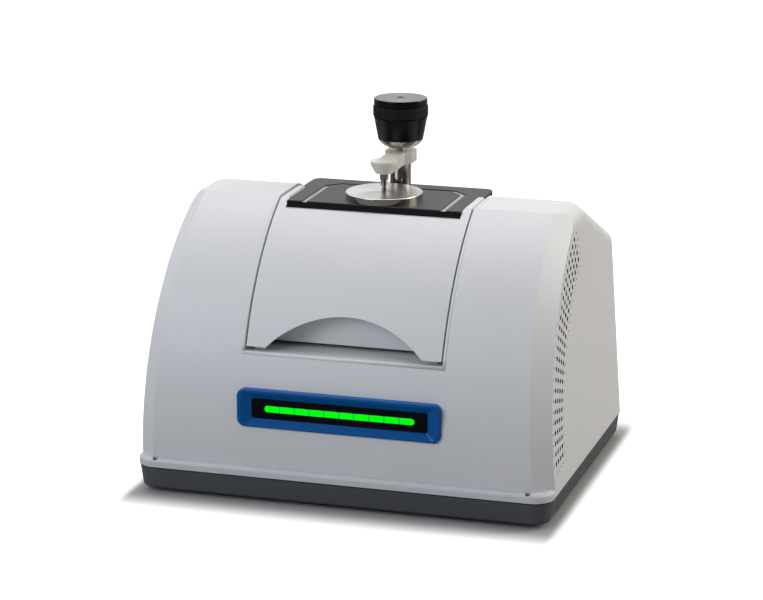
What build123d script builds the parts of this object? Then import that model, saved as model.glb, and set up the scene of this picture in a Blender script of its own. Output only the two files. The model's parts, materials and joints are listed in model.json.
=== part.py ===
"""Compact bench infrared spectrometer with a single-bounce crystal accessory.

Millimetres, +Z up, X to the right seen from the front, Y to the back.
The origin is the centre of the footprint on the bench top.
"""

import os
from math import cos, radians, sin, sqrt, tan

from build123d import *

os.makedirs("parts", exist_ok=True)

# Body
BODY_WIDTH = 349.0
BODY_DEPTH = 275.0
BODY_TOP = 233.0
CORNER_RADIUS = 16.0
FOOT_HEIGHT = 4.0
FOOT_RADIUS = 11.0
FOOT_INSET = 32.0
BASE_TOP = 22.0
BASE_WALL = 3.0
BASE_EDGE_ROUND = 3.0
RIM_INSET = 1.2
RIM_WIDTH = 4.0
SHADOW_GAP = 1.2
COVER_BOTTOM = BASE_TOP + SHADOW_GAP

# Cover form
COVER_WALL = 3.0
COVER_OVERHANG = 0.7
SIDE_DRAFT = 3.2
REAR_DRAFT = 3.4
REAR_SLOPE = 24.0
REAR_ROUND = 25.0
FLAT_END_Y = 20.0
FASCIA_RADIUS = 201.0
FASCIA_CENTRE_Y = 66.2
FASCIA_CENTRE_Z = 56.7
FACET = 14.5
SIDE_ROUND = 16.0

# Air vents in both sides, on arcs round the fascia's own centre
VENT_ROWS = 24
VENT_STEP = 2.74
VENT_FIRST = -2.6
VENT_RING_STEP = 7.3
VENT_OUTER_RADIUS = 184.0
VENT_RINGS = 6
VENT_RADIUS = 2.2
VENT_SMALL_RADIUS = 1.05

# Accessory bay
BAY_HALF = 83.0
BAY_FLOOR = 124.5
BAY_REAR = 52.0
LINER_WALL = 2.5
SEAT_GAP = 0.1
BEAM_HEIGHT = 165.0
BEAM_RADIUS = 14.0

# Accessory
GUIDE_GAP = 1.4
LIFT_GAP = 0.2
PANEL_BOTTOM = 128.2
PANEL_WALL = 3.0
DECK_TOP = 225.5
PLATE_THICK = 6.0
PLATE_FRONT = -39.0
PLATE_REAR = 50.0
PLATE_HALF = 74.4
PLATE_WIDE_HALF = 79.0
PLATE_CORNER = 7.0
RAIL_END = 10.0
SCOOP_HALF = 65.5
SCOOP_RISE = 27.0
SCOOP_BACK = -97.0
GROOVE_HALF = 57.0
GROOVE_WIDTH = 4.6
GROOVE_DEPTH = 0.8
GROOVE_REAR = 30.0
GROOVE_CUT = 9.0

# Crystal and pressure tower
PUCK_RADIUS = 31.9
PUCK_HEIGHT = 5.5
PUCK_Y = -7.65
CRYSTAL_RADIUS = 1.4
COLUMN_Y = 39.9
COLUMN_RADIUS = 8.8
COLUMN_HEIGHT = 20.9
SCREW_RADIUS = 3.2
RUNNING_GAP = 0.05
ARM_THICK = 10.3
ARM_BLOCK_HALF = 11.6
ARM_WEB_HALF = 7.0
BOSS_RADIUS = 11.4
BOSS_FOOT_RADIUS = 7.2
TIP_GAP = 0.3
KNOB_GAP = 2.7
KNOB_RADIUS = 22.4
KNOB_WAIST_RADIUS = 18.9
DOME_HEIGHT = 7.0
DOME_FOOT_RADIUS = 9.5
CUP_HEIGHT = 18.5
BAND_HEIGHT = 10.6
BAND_RADIUS = 22.9
CAP_HEIGHT = 5.6

# Front light and trim
BEZEL_HALF = 85.5
BEZEL_LOW = 64.8
BEZEL_HIGH = 96.4
BEZEL_ROUND = 6.5
BEZEL_PROUD = 3.2
WINDOW_HALF = 74.0
WINDOW_LOW = 71.6
WINDOW_HIGH = 88.4
FUNNEL_SIDE = 8.0
FUNNEL_DEPTH = 4.0
LIGHT_COUNT = 10
LIGHT_PITCH = 12.7
LIGHT_GAP = 1.3
LIGHT_HEIGHT = 5.2
LIGHT_BAND_Z = 80.0
SKIRT_TOP = 30.6
SKIRT_END_Y = -118.5

# Inner structure
BENCH_BOTTOM = 30.0
BENCH_TOP = 38.0
BLOCK_TOP = 140.0
BLOCK_CENTRE_X = 126.0
BLOCK_HALF = 32.0
SPLITTER_X = 125.0
MIRROR_RADIUS = 14.0
MIRROR_THICK = 5.0

SCREW_HEAD_RADIUS = 2.3
SCREW_SHANK_RADIUS = 1.5


def fascia_y(height, inset=0.0):
    """Y of the curved fascia at a height, moved inwards by an inset."""
    return FASCIA_CENTRE_Y - sqrt((FASCIA_RADIUS - inset) ** 2 - (height - FASCIA_CENTRE_Z) ** 2)


def save(piece, name):
    """Label a finished piece and write it as its own file."""
    piece.label = name
    export_step(piece, f"parts/{name}.step")


def cover_profile(bottom, inset):
    """Side view of the cover: arched fascia, flat top, sloped shoulder, leaning rear."""
    rear_y = BODY_DEPTH / 2 + COVER_OVERHANG
    slope = tan(radians(REAR_SLOPE))
    lean = tan(radians(REAR_DRAFT))
    knee_z = (BODY_TOP + slope * (FLAT_END_Y - rear_y - lean * COVER_BOTTOM)) / (1 - slope * lean)
    knee_y = rear_y - lean * (knee_z - COVER_BOTTOM)
    heel_y = rear_y - lean * (bottom - COVER_BOTTOM)
    middle = (bottom + BODY_TOP) / 2
    with BuildSketch(Plane.YZ) as profile:
        with BuildLine():
            ThreePointArc((fascia_y(bottom), bottom), (fascia_y(middle), middle), (fascia_y(BODY_TOP), BODY_TOP))
            Polyline(
                (fascia_y(BODY_TOP), BODY_TOP),
                (FLAT_END_Y, BODY_TOP),
                (knee_y, knee_z),
                (heel_y, bottom),
                (fascia_y(bottom), bottom),
            )
        make_face()
        fillet(profile.vertices().sort_by_distance((0, knee_y, knee_z))[0], radius=REAR_ROUND)
        if inset:
            offset(amount=-inset, kind=Kind.INTERSECTION, mode=Mode.REPLACE)
    return profile.sketch


def cover_outline(bottom, inset):
    """Front view of the cover: both sides lean inwards by the mould draft."""
    foot = BODY_WIDTH / 2 + COVER_OVERHANG
    draft = tan(radians(SIDE_DRAFT))
    above = BODY_TOP + CORNER_RADIUS
    low_half = foot - draft * (bottom - COVER_BOTTOM) - inset
    high_half = foot - draft * (above - COVER_BOTTOM) - inset
    with BuildSketch(Plane.XZ) as outline:
        Polygon(
            (-low_half, bottom),
            (low_half, bottom),
            (high_half, above),
            (-high_half, above),
            align=None,
        )
    return outline.sketch


def cover_form(inset=0.0, bottom=COVER_BOTTOM):
    """Solid of the cover's outer form, moved inwards by an inset."""
    with BuildPart() as form:
        extrude(cover_profile(bottom, inset), amount=BODY_WIDTH, both=True)
        extrude(cover_outline(bottom - inset, inset), amount=BODY_DEPTH, both=True, mode=Mode.INTERSECT)
        fascia = form.faces().filter_by(GeomType.CYLINDER).sort_by(SortBy.AREA)[-1]
        arc_edges = fascia.edges().sort_by(Axis.X)
        chamfer([arc_edges[0], arc_edges[-1]], length=FACET - inset * (2 - sqrt(2)))
        side_edges = [
            edge
            for edge in form.edges()
            if abs(edge.center().X) > BODY_WIDTH * 0.4 and edge.center().Y > -FLAT_END_Y / 2
            and edge.center().Z > COVER_BOTTOM + CORNER_RADIUS
        ]
        fillet(side_edges, radius=SIDE_ROUND - inset)
    return form.part


def body_outline(inset=0.0):
    """Plan of the base: a rectangle with round corners."""
    with BuildSketch() as plan:
        RectangleRounded(BODY_WIDTH - 2 * inset, BODY_DEPTH - 2 * inset, CORNER_RADIUS - inset)
    return plan.sketch


outer_form = cover_form()
inner_form = cover_form(COVER_WALL, COVER_BOTTOM - COVER_WALL)
seat_form = cover_form(COVER_WALL + SEAT_GAP, COVER_BOTTOM - COVER_WALL)

# Base tray: drafted dark tray whose rim carries the cover
base_taper = 7.6
with BuildPart() as base_tray:
    with BuildSketch(Plane.XY.offset(BASE_TOP)):
        add(body_outline())
    extrude(amount=FOOT_HEIGHT - BASE_TOP, taper=base_taper)
    fillet(base_tray.faces().sort_by(Axis.Z)[0].edges(), radius=BASE_EDGE_ROUND)
    with BuildSketch(Plane.XY.offset(BASE_TOP)):
        add(body_outline(RIM_INSET))
    extrude(amount=SHADOW_GAP)
    with BuildSketch(Plane.XY.offset(FOOT_HEIGHT + BASE_WALL)):
        add(body_outline(RIM_INSET + RIM_WIDTH))
    extrude(amount=BASE_TOP, mode=Mode.SUBTRACT)
save(base_tray.part, "base_tray")

# Rubber feet under the tray
foot_grid = (BODY_WIDTH - 2 * FOOT_INSET, BODY_DEPTH - 2 * FOOT_INSET)
with BuildPart() as rubber_feet:
    with BuildSketch():
        with GridLocations(*foot_grid, 2, 2):
            Circle(FOOT_RADIUS)
    extrude(amount=FOOT_HEIGHT)
    chamfer(rubber_feet.edges().group_by(Axis.Z)[0], length=0.8)
save(rubber_feet.part, "rubber_feet")

# Cover: thin moulded shell, open below, with the bay, the light window, the vents
port_panel_half = 72.0
port_panel_low = 42.0
port_panel_high = 80.0
bezel_seat_gap = 0.3
with BuildPart() as main_cover:
    add(outer_form)
    add(inner_form, mode=Mode.SUBTRACT)
    with BuildSketch(Plane.YZ):
        with BuildLine():
            Polyline(
                (-BODY_DEPTH, BAY_FLOOR),
                (BAY_REAR, BAY_FLOOR),
                (BAY_REAR, BODY_TOP + CORNER_RADIUS),
                (-BODY_DEPTH, BODY_TOP + CORNER_RADIUS),
                close=True,
            )
        make_face()
    extrude(amount=BAY_HALF, both=True, mode=Mode.SUBTRACT)
    with BuildSketch(Plane.XZ):
        with Locations((0, (BEZEL_LOW + BEZEL_HIGH) / 2)):
            Rectangle(2 * (BEZEL_HALF - BEZEL_PROUD), BEZEL_HIGH - BEZEL_LOW - 2 * BEZEL_PROUD)
    extrude(amount=BODY_DEPTH, mode=Mode.SUBTRACT)
    with BuildSketch(Plane.XZ):
        with Locations((0, (port_panel_low + port_panel_high) / 2)):
            RectangleRounded(2 * port_panel_half, port_panel_high - port_panel_low, 4.0)
    extrude(amount=-BODY_DEPTH, mode=Mode.SUBTRACT)
    with BuildSketch(Plane.YZ):
        with Locations((FASCIA_CENTRE_Y, FASCIA_CENTRE_Z)):
            for ring in range(VENT_RINGS):
                ring_radius = VENT_OUTER_RADIUS - ring * VENT_RING_STEP
                at_edge = ring in (0, VENT_RINGS - 1)
                for row in range(-1, VENT_ROWS + 1):
                    at_end = row in (-1, VENT_ROWS)
                    if at_edge and at_end:
                        continue
                    angle = radians(180 - VENT_FIRST - row * VENT_STEP)
                    spot = (ring_radius * cos(angle), ring_radius * sin(angle))
                    with Locations(spot):
                        if at_edge or at_end:
                            RegularPolygon(VENT_SMALL_RADIUS, 4)
                        else:
                            RegularPolygon(VENT_RADIUS, 8)
    extrude(amount=BODY_WIDTH, both=True, mode=Mode.SUBTRACT)
save(main_cover.part, "main_cover")

# Front skirt: separate moulded trim across the foot of the fascia
skirt_screw_x = 157.0
skirt_screw_y = -135.3
skirt_head_height = 1.6
dimple_depth = 1.2
slot_gap = 0.1
with BuildPart() as front_skirt:
    with BuildSketch(Plane.XY.offset(COVER_BOTTOM)):
        add(body_outline(-COVER_OVERHANG))
    extrude(amount=SKIRT_TOP - COVER_BOTTOM)
    fillet(front_skirt.faces().sort_by(Axis.Z)[-1].edges(), radius=3.5)
    with BuildSketch(Plane.XY.offset(COVER_BOTTOM)):
        with Locations((0, SKIRT_END_Y)):
            Rectangle(2 * BODY_WIDTH, BODY_DEPTH, align=(Align.CENTER, Align.MAX))
    extrude(amount=BODY_TOP, mode=Mode.INTERSECT)
    add(outer_form, mode=Mode.SUBTRACT)
    with Locations((-skirt_screw_x, skirt_screw_y, SKIRT_TOP), (skirt_screw_x, skirt_screw_y, SKIRT_TOP)):
        CounterBoreHole(SCREW_SHANK_RADIUS, SCREW_HEAD_RADIUS + slot_gap, dimple_depth + skirt_head_height)
save(front_skirt.part, "front_skirt")

# Two small screws that hold the skirt down, sunk in dimples
with BuildPart() as skirt_screws:
    with BuildSketch(Plane.XY.offset(SKIRT_TOP - dimple_depth)):
        with Locations((-skirt_screw_x, skirt_screw_y), (skirt_screw_x, skirt_screw_y)):
            Circle(SCREW_HEAD_RADIUS)
    extrude(amount=-skirt_head_height)
    with BuildSketch(Plane.XY.offset(COVER_BOTTOM)):
        with Locations((-skirt_screw_x, skirt_screw_y), (skirt_screw_x, skirt_screw_y)):
            Circle(SCREW_SHANK_RADIUS)
    extrude(amount=SKIRT_TOP - dimple_depth - skirt_head_height - COVER_BOTTOM)
save(skirt_screws.part, "skirt_screws")

# Light bezel: frame with sloping inner walls, seated on the arched fascia
bezel_front = fascia_y(LIGHT_BAND_Z) - BEZEL_PROUD
bezel_middle = (BEZEL_LOW + BEZEL_HIGH) / 2
bezel_tall = BEZEL_HIGH - BEZEL_LOW
window_middle = (WINDOW_LOW + WINDOW_HIGH) / 2
window_tall = WINDOW_HIGH - WINDOW_LOW
window_front = bezel_front + FUNNEL_DEPTH
window_thick = 2.0
plug_inset = BEZEL_PROUD + bezel_seat_gap
plug_lap = 1.5
with BuildPart() as light_bezel:
    with BuildSketch(Plane.XZ.offset(-bezel_front)):
        with Locations((0, bezel_middle)):
            RectangleRounded(2 * BEZEL_HALF, bezel_tall, BEZEL_ROUND)
    extrude(amount=-2 * BEZEL_PROUD)
    fillet(light_bezel.faces().sort_by(Axis.Y)[0].outer_wire().edges(), radius=1.2)
    add(outer_form, mode=Mode.SUBTRACT)
    with BuildSketch(Plane.XZ.offset(-bezel_front - plug_lap)):
        with Locations((0, bezel_middle)):
            Rectangle(2 * (BEZEL_HALF - plug_inset), bezel_tall - 2 * plug_inset)
    extrude(amount=-(FUNNEL_DEPTH + window_thick))
    with BuildSketch(Plane.XZ.offset(-bezel_front)) as funnel_mouth:
        with Locations((0, window_middle)):
            RectangleRounded(2 * (WINDOW_HALF + FUNNEL_SIDE), window_tall + 2 * 5.4, BEZEL_ROUND - 2)
    with BuildSketch(Plane.XZ.offset(-window_front)) as funnel_throat:
        with Locations((0, window_middle)):
            RectangleRounded(2 * WINDOW_HALF, window_tall, 2.0)
    loft([funnel_mouth.sketch, funnel_throat.sketch], mode=Mode.SUBTRACT)
    extrude(funnel_throat.sketch, amount=-3 * window_thick, mode=Mode.SUBTRACT)
save(light_bezel.part, "light_bezel")

# Dark window with a slot for each light pipe
light_centre_z = LIGHT_BAND_Z
light_width = LIGHT_PITCH - LIGHT_GAP
with BuildPart() as light_window:
    with BuildSketch(Plane.XZ.offset(-window_front)):
        with Locations((0, window_middle)):
            RectangleRounded(2 * WINDOW_HALF, window_tall, 2.0)
        with Locations((0, light_centre_z)):
            with GridLocations(LIGHT_PITCH, 0, LIGHT_COUNT, 1):
                SlotOverall(light_width + 2 * slot_gap, LIGHT_HEIGHT + 2 * slot_gap, mode=Mode.SUBTRACT)
    extrude(amount=-window_thick)
save(light_window.part, "light_window")

# Light pipes: one clear bar for each segment of the status band
pipe_length = 6.0
with BuildPart() as light_pipes:
    with BuildSketch(Plane.XZ.offset(-window_front)):
        with Locations((0, light_centre_z)):
            with GridLocations(LIGHT_PITCH, 0, LIGHT_COUNT, 1):
                SlotOverall(light_width, LIGHT_HEIGHT)
    extrude(amount=-pipe_length)
save(light_pipes.part, "light_pipes")

# Circuit board of the status band, with two posts that hold it to the bezel
board_thick = 1.6
board_front = window_front + pipe_length
with BuildPart() as light_board:
    with BuildSketch(Plane.XZ.offset(-board_front)):
        with Locations((0, window_middle)):
            Rectangle(2 * WINDOW_HALF + 8, window_tall)
    extrude(amount=-board_thick)
    with BuildSketch(Plane.XZ.offset(-board_front)):
        with Locations((0, window_middle)):
            with GridLocations(2 * WINDOW_HALF + 4, 0, 2, 1):
                Circle(1.8)
    extrude(amount=board_front - (bezel_front + FUNNEL_DEPTH + window_thick + plug_lap))
save(light_board.part, "light_board")

# Bay liner: tub behind the cover's opening, with floor, side walls and rear wall
with BuildPart() as bay_liner:
    with BuildSketch(Plane.YZ):
        with Locations((BAY_REAR + LINER_WALL, BAY_FLOOR - LINER_WALL)):
            Rectangle(BODY_DEPTH, BODY_TOP, align=(Align.MAX, Align.MIN))
    extrude(amount=BAY_HALF + LINER_WALL, both=True)
    add(seat_form, mode=Mode.INTERSECT)
    with BuildSketch(Plane.YZ):
        with Locations((BAY_REAR, BAY_FLOOR)):
            Rectangle(BODY_DEPTH, BODY_TOP, align=(Align.MAX, Align.MIN))
    extrude(amount=BAY_HALF, both=True, mode=Mode.SUBTRACT)
    with BuildSketch(Plane.YZ):
        with Locations((0, BEAM_HEIGHT)):
            Circle(BEAM_RADIUS)
    extrude(amount=BODY_WIDTH / 2, both=True, mode=Mode.SUBTRACT)
save(bay_liner.part, "bay_liner")

# Window frames and windows that pass the beam through the liner's side walls
frame_depth = 4.0
frame_wall = 5.0
frame_start = BAY_HALF + LINER_WALL
with BuildPart() as bay_window_frames:
    with BuildSketch(Plane.YZ.offset(frame_start)):
        with Locations((0, BEAM_HEIGHT)):
            Circle(BEAM_RADIUS + frame_wall)
            Circle(BEAM_RADIUS, mode=Mode.SUBTRACT)
    extrude(amount=frame_depth)
    mirror(about=Plane.YZ)
save(bay_window_frames.part, "bay_window_frames")

with BuildPart() as bay_windows:
    with BuildSketch(Plane.YZ.offset(frame_start)):
        with Locations((0, BEAM_HEIGHT)):
            Circle(BEAM_RADIUS)
    extrude(amount=frame_depth - 1.0)
    mirror(about=Plane.YZ)
save(bay_windows.part, "bay_windows")

# Accessory shell: arched panel with the finger scoop, side walls with top rails, tabs
shell_half = BAY_HALF - GUIDE_GAP
shell_rear = PLATE_REAR - 3.0
rail_foot = 5.0


def accessory_profile(inset, bottom, top, rear):
    """Side view of the accessory: the fascia's arc in front, square behind."""
    middle = (bottom + top) / 2
    with BuildSketch(Plane.YZ) as profile:
        with BuildLine():
            ThreePointArc(
                (fascia_y(bottom, inset), bottom),
                (fascia_y(middle, inset), middle),
                (fascia_y(top, inset), top),
            )
            Polyline((fascia_y(top, inset), top), (rear, top), (rear, bottom), (fascia_y(bottom, inset), bottom))
        make_face()
    return profile.sketch


scoop_radius = (SCOOP_HALF**2 + SCOOP_RISE**2) / (2 * SCOOP_RISE)


def scoop_face(inset):
    """Arch of the finger scoop, moved outwards by an inset."""
    foot = PANEL_BOTTOM - 1.0
    with BuildSketch(Plane.XZ.offset(-SCOOP_BACK - inset)) as arch:
        with Locations((0, PANEL_BOTTOM + SCOOP_RISE - scoop_radius)):
            Circle(scoop_radius + inset)
        with Locations((0, foot if not inset else PANEL_BOTTOM)):
            Rectangle(BODY_WIDTH, BODY_TOP, align=(Align.CENTER, Align.MIN), mode=Mode.INTERSECT)
    return arch.sketch


with BuildPart() as accessory_shell:
    extrude(accessory_profile(0.0, PANEL_BOTTOM, BODY_TOP, shell_rear), amount=shell_half, both=True)
    with BuildSketch(Plane.YZ):
        with Locations((RAIL_END, DECK_TOP)):
            Rectangle(BODY_DEPTH, BODY_TOP, align=(Align.MIN, Align.MIN))
    extrude(amount=BODY_WIDTH, both=True, mode=Mode.SUBTRACT)
    with BuildSketch(Plane.YZ):
        with Locations((-BODY_DEPTH, DECK_TOP)):
            Rectangle(2 * BODY_DEPTH, BODY_TOP, align=(Align.MIN, Align.MIN))
    extrude(amount=PLATE_HALF + RUNNING_GAP, both=True, mode=Mode.SUBTRACT)
    rail_tops = accessory_shell.faces().filter_by(Axis.Z).group_by(Axis.Z)[-1]
    fillet(rail_tops.edges().filter_by(Axis.Y), radius=2.4)
    extrude(
        accessory_profile(PANEL_WALL, PANEL_BOTTOM, DECK_TOP - PANEL_WALL, shell_rear - PANEL_WALL),
        amount=shell_half - PANEL_WALL,
        both=True,
        mode=Mode.SUBTRACT,
    )
    with BuildSketch(Plane.XY.offset(DECK_TOP)):
        with Locations((0, 4)):
            RectangleRounded(110, 56, 8)
    extrude(amount=-2 * PANEL_WALL, mode=Mode.SUBTRACT)
    with BuildSketch(Plane.YZ):
        with Locations((0, BEAM_HEIGHT)):
            Circle(BEAM_RADIUS)
    extrude(amount=BODY_WIDTH / 2, both=True, mode=Mode.SUBTRACT)
    extrude(scoop_face(PANEL_WALL), amount=-SCOOP_BACK / 2)
    add(cover_form(0.0, COVER_BOTTOM - COVER_WALL), mode=Mode.INTERSECT)
    extrude(scoop_face(0.0), amount=BODY_DEPTH / 2, mode=Mode.SUBTRACT)
    with BuildSketch(Plane.XY.offset(BAY_FLOOR + LIFT_GAP)):
        for side in (-1, 1):
            with Locations((side * 72, -108)):
                Rectangle(9, 14)
            with Locations((side * 72, 38)):
                Rectangle(9, 14)
    extrude(amount=PANEL_BOTTOM - BAY_FLOOR - LIFT_GAP)
save(accessory_shell.part, "accessory_shell")

# Accessory base plate inside the shell
accessory_base_thick = 5.0
accessory_floor = PANEL_BOTTOM + accessory_base_thick
inner_half = shell_half - PANEL_WALL
with BuildPart() as accessory_base:
    with BuildSketch(Plane.XY.offset(PANEL_BOTTOM)):
        with Locations((0, SCOOP_BACK + PANEL_WALL + 1)):
            Rectangle(2 * inner_half, shell_rear - PANEL_WALL - (SCOOP_BACK + PANEL_WALL + 1),
                      align=(Align.CENTER, Align.MIN))
    extrude(amount=accessory_base_thick)
save(accessory_base.part, "accessory_base")

# Roof-shaped optics block that carries the two transfer mirrors
roof_half = 42.0
roof_wall = 9.0
roof_ridge = 4.0
roof_depth = 20.0
roof_rise = roof_half - roof_ridge
with BuildPart() as transfer_block:
    with BuildSketch(Plane.XZ):
        with BuildLine():
            Polyline(
                (-roof_half, accessory_floor),
                (roof_half, accessory_floor),
                (roof_half, accessory_floor + roof_wall),
                (roof_ridge, accessory_floor + roof_wall + roof_rise),
                (-roof_ridge, accessory_floor + roof_wall + roof_rise),
                (-roof_half, accessory_floor + roof_wall),
                close=True,
            )
        make_face()
    extrude(amount=roof_depth, both=True)
    with BuildSketch(Plane.XZ):
        with Locations((0, accessory_floor)):
            Rectangle(roof_half, roof_wall * 2, align=(Align.CENTER, Align.MIN))
    extrude(amount=roof_depth - 4.0, both=True, mode=Mode.SUBTRACT)
save(transfer_block.part, "transfer_block")

# Transfer mirrors on the two slopes, which turn the beam up to the crystal and back
mirror_side = 34.0
slope_middle = (roof_half + roof_ridge) / 2
slope_height = accessory_floor + roof_wall + roof_rise / 2
slope_plane = Plane(origin=(slope_middle, 0, slope_height), x_dir=(0, 1, 0), z_dir=(1, 0, 1))
with BuildPart() as transfer_mirrors:
    with BuildSketch(slope_plane):
        RectangleRounded(mirror_side, mirror_side + 8, 4.0)
    extrude(amount=4.0)
    mirror(about=Plane.YZ)
save(transfer_mirrors.part, "transfer_mirrors")

# Top plate: black work surface with a shallow spill groove
plate_top = DECK_TOP + PLATE_THICK
with BuildPart() as top_plate:
    with BuildSketch(Plane.XY.offset(DECK_TOP)) as plate_plan:
        with Locations((0, PLATE_FRONT)):
            Rectangle(2 * PLATE_HALF, PLATE_REAR - PLATE_FRONT, align=(Align.CENTER, Align.MIN))
        with Locations((0, RAIL_END + RUNNING_GAP)):
            Rectangle(2 * PLATE_WIDE_HALF, PLATE_REAR - RAIL_END - RUNNING_GAP, align=(Align.CENTER, Align.MIN))
        fillet(plate_plan.vertices().group_by(Axis.Y)[-1], radius=PLATE_CORNER)
    extrude(amount=PLATE_THICK)
    chamfer(top_plate.faces().sort_by(Axis.Z)[-1].edges(), length=0.5)
    with BuildSketch(Plane.XY.offset(plate_top)):
        with BuildLine():
            groove_path = Polyline(
                (-GROOVE_HALF, PLATE_FRONT - GROOVE_WIDTH),
                (-GROOVE_HALF, GROOVE_REAR - GROOVE_CUT),
                (-GROOVE_HALF + GROOVE_CUT, GROOVE_REAR),
                (GROOVE_HALF - GROOVE_CUT, GROOVE_REAR),
                (GROOVE_HALF, GROOVE_REAR - GROOVE_CUT),
                (GROOVE_HALF, PLATE_FRONT - GROOVE_WIDTH),
            )
            offset(groove_path, amount=GROOVE_WIDTH, side=Side.LEFT)
        make_face()
    extrude(amount=-GROOVE_DEPTH, mode=Mode.SUBTRACT)
    with BuildSketch(Plane.XY.offset(plate_top)):
        with Locations((0, PUCK_Y)):
            Circle(PUCK_RADIUS / 3)
    extrude(amount=-PLATE_THICK, mode=Mode.SUBTRACT)
save(top_plate.part, "top_plate")

# Steel puck with the crystal cone seated flush in its centre
crystal_flare = 2.2
puck_top = plate_top + PUCK_HEIGHT
with BuildPart() as crystal_puck:
    with BuildSketch(Plane.XY.offset(plate_top)):
        with Locations((0, PUCK_Y)):
            Circle(PUCK_RADIUS)
    extrude(amount=PUCK_HEIGHT)
    fillet(crystal_puck.edges().group_by(Axis.Z)[-1], radius=0.8)
    with BuildSketch(Plane.XY.offset(plate_top)):
        with Locations((0, PUCK_Y)):
            Circle(CRYSTAL_RADIUS + crystal_flare)
    with BuildSketch(Plane.XY.offset(puck_top)):
        with Locations((0, PUCK_Y)):
            Circle(CRYSTAL_RADIUS)
    loft(mode=Mode.SUBTRACT)
save(crystal_puck.part, "crystal_puck")

with BuildPart() as diamond_crystal:
    with BuildSketch(Plane.XY.offset(plate_top)):
        with Locations((0, PUCK_Y)):
            Circle(CRYSTAL_RADIUS + crystal_flare)
    with BuildSketch(Plane.XY.offset(puck_top)):
        with Locations((0, PUCK_Y)):
            Circle(CRYSTAL_RADIUS)
    loft()
save(diamond_crystal.part, "diamond_crystal")

# Column and its lead screw
arm_bottom = plate_top + COLUMN_HEIGHT
arm_top = arm_bottom + ARM_THICK
knob_bottom = arm_top + KNOB_GAP
screw_top = knob_bottom + DOME_HEIGHT + CUP_HEIGHT + BAND_HEIGHT - 3.0
column_axis = Plane(origin=(0, COLUMN_Y, 0), x_dir=(1, 0, 0), z_dir=(0, -1, 0))
with BuildPart() as tower_column:
    with BuildSketch(column_axis):
        with BuildLine():
            Polyline(
                (0, plate_top),
                (COLUMN_RADIUS, plate_top),
                (COLUMN_RADIUS, arm_bottom - RUNNING_GAP - 0.6),
                (COLUMN_RADIUS - 0.6, arm_bottom - RUNNING_GAP),
                (SCREW_RADIUS, arm_bottom - RUNNING_GAP),
                (SCREW_RADIUS, arm_bottom - COLUMN_HEIGHT / 2),
                (0, arm_bottom - COLUMN_HEIGHT / 2),
                close=True,
            )
        make_face()
    revolve(axis=Axis((0, COLUMN_Y, 0), (0, 0, 1)))
save(tower_column.part, "tower_column")

with BuildPart() as lead_screw:
    with BuildSketch(Plane.XY.offset(arm_bottom - COLUMN_HEIGHT / 2)):
        with Locations((0, COLUMN_Y)):
            Circle(SCREW_RADIUS)
    extrude(amount=screw_top - arm_bottom + COLUMN_HEIGHT / 2)
    chamfer(lead_screw.edges().group_by(Axis.Z)[-1], length=0.6)
save(lead_screw.part, "lead_screw")

# Pressure arm: block round the column's screw, web, and cup-shaped boss over the crystal
holder_radius = 3.6
boss_lip = 2.5
with BuildPart() as pressure_arm:
    with BuildSketch(Plane.XY.offset(arm_bottom)) as arm_plan:
        with Locations((0, COLUMN_Y)):
            Rectangle(2 * ARM_BLOCK_HALF, 2 * ARM_BLOCK_HALF)
        chamfer(arm_plan.vertices().group_by(Axis.Y)[0], length=ARM_BLOCK_HALF - ARM_WEB_HALF)
        fillet(arm_plan.vertices().group_by(Axis.Y)[-1], radius=3.0)
        with Locations((0, PUCK_Y)):
            Rectangle(2 * ARM_WEB_HALF, COLUMN_Y - PUCK_Y, align=(Align.CENTER, Align.MIN))
        with Locations((0, PUCK_Y)):
            Rectangle(BOSS_RADIUS * 2, BOSS_FOOT_RADIUS / 2, mode=Mode.SUBTRACT)
    extrude(amount=ARM_THICK)
    with BuildSketch(Plane.XY.offset(arm_top)):
        with Locations((0, PUCK_Y)):
            Circle(BOSS_RADIUS)
    with BuildSketch(Plane.XY.offset(arm_top - boss_lip)):
        with Locations((0, PUCK_Y)):
            Circle(BOSS_RADIUS)
    with BuildSketch(Plane.XY.offset(arm_bottom)):
        with Locations((0, PUCK_Y)):
            Circle(BOSS_FOOT_RADIUS)
    loft(ruled=True)
    with Locations((0, COLUMN_Y, arm_top)):
        Hole(SCREW_RADIUS + RUNNING_GAP)
save(pressure_arm.part, "pressure_arm")

# Tip holder under the boss, and the steel tip that presses the sample on the crystal
tip_foot_height = 4.5
tip_neck_radius = 1.7
tip_foot_radius = 2.4
tip_bottom = puck_top + TIP_GAP
holder_foot = tip_bottom + tip_foot_height
holder_waist = holder_foot + 4.0
with BuildPart() as tip_holder:
    with BuildSketch(Plane(origin=(0, PUCK_Y, 0), x_dir=(1, 0, 0), z_dir=(0, -1, 0))):
        with BuildLine():
            Polyline(
                (0, holder_foot),
                (2.7, holder_foot),
                (2.9, holder_waist),
                (holder_radius, holder_waist + 2.0),
                (holder_radius, arm_bottom),
                (0, arm_bottom),
                close=True,
            )
        make_face()
    revolve(axis=Axis((0, PUCK_Y, 0), (0, 0, 1)))
save(tip_holder.part, "tip_holder")

with BuildPart() as pressure_tip:
    with BuildSketch(Plane(origin=(0, PUCK_Y, 0), x_dir=(1, 0, 0), z_dir=(0, -1, 0))):
        with BuildLine():
            Polyline(
                (0, tip_bottom),
                (tip_foot_radius - 0.4, tip_bottom),
                (tip_foot_radius, tip_bottom + 0.5),
                (tip_foot_radius, tip_bottom + 2.0),
                (tip_neck_radius, tip_bottom + 2.4),
                (tip_neck_radius, holder_foot),
                (0, holder_foot),
                close=True,
            )
        make_face()
    revolve(axis=Axis((0, PUCK_Y, 0), (0, 0, 1)))
save(pressure_tip.part, "pressure_tip")

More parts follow.
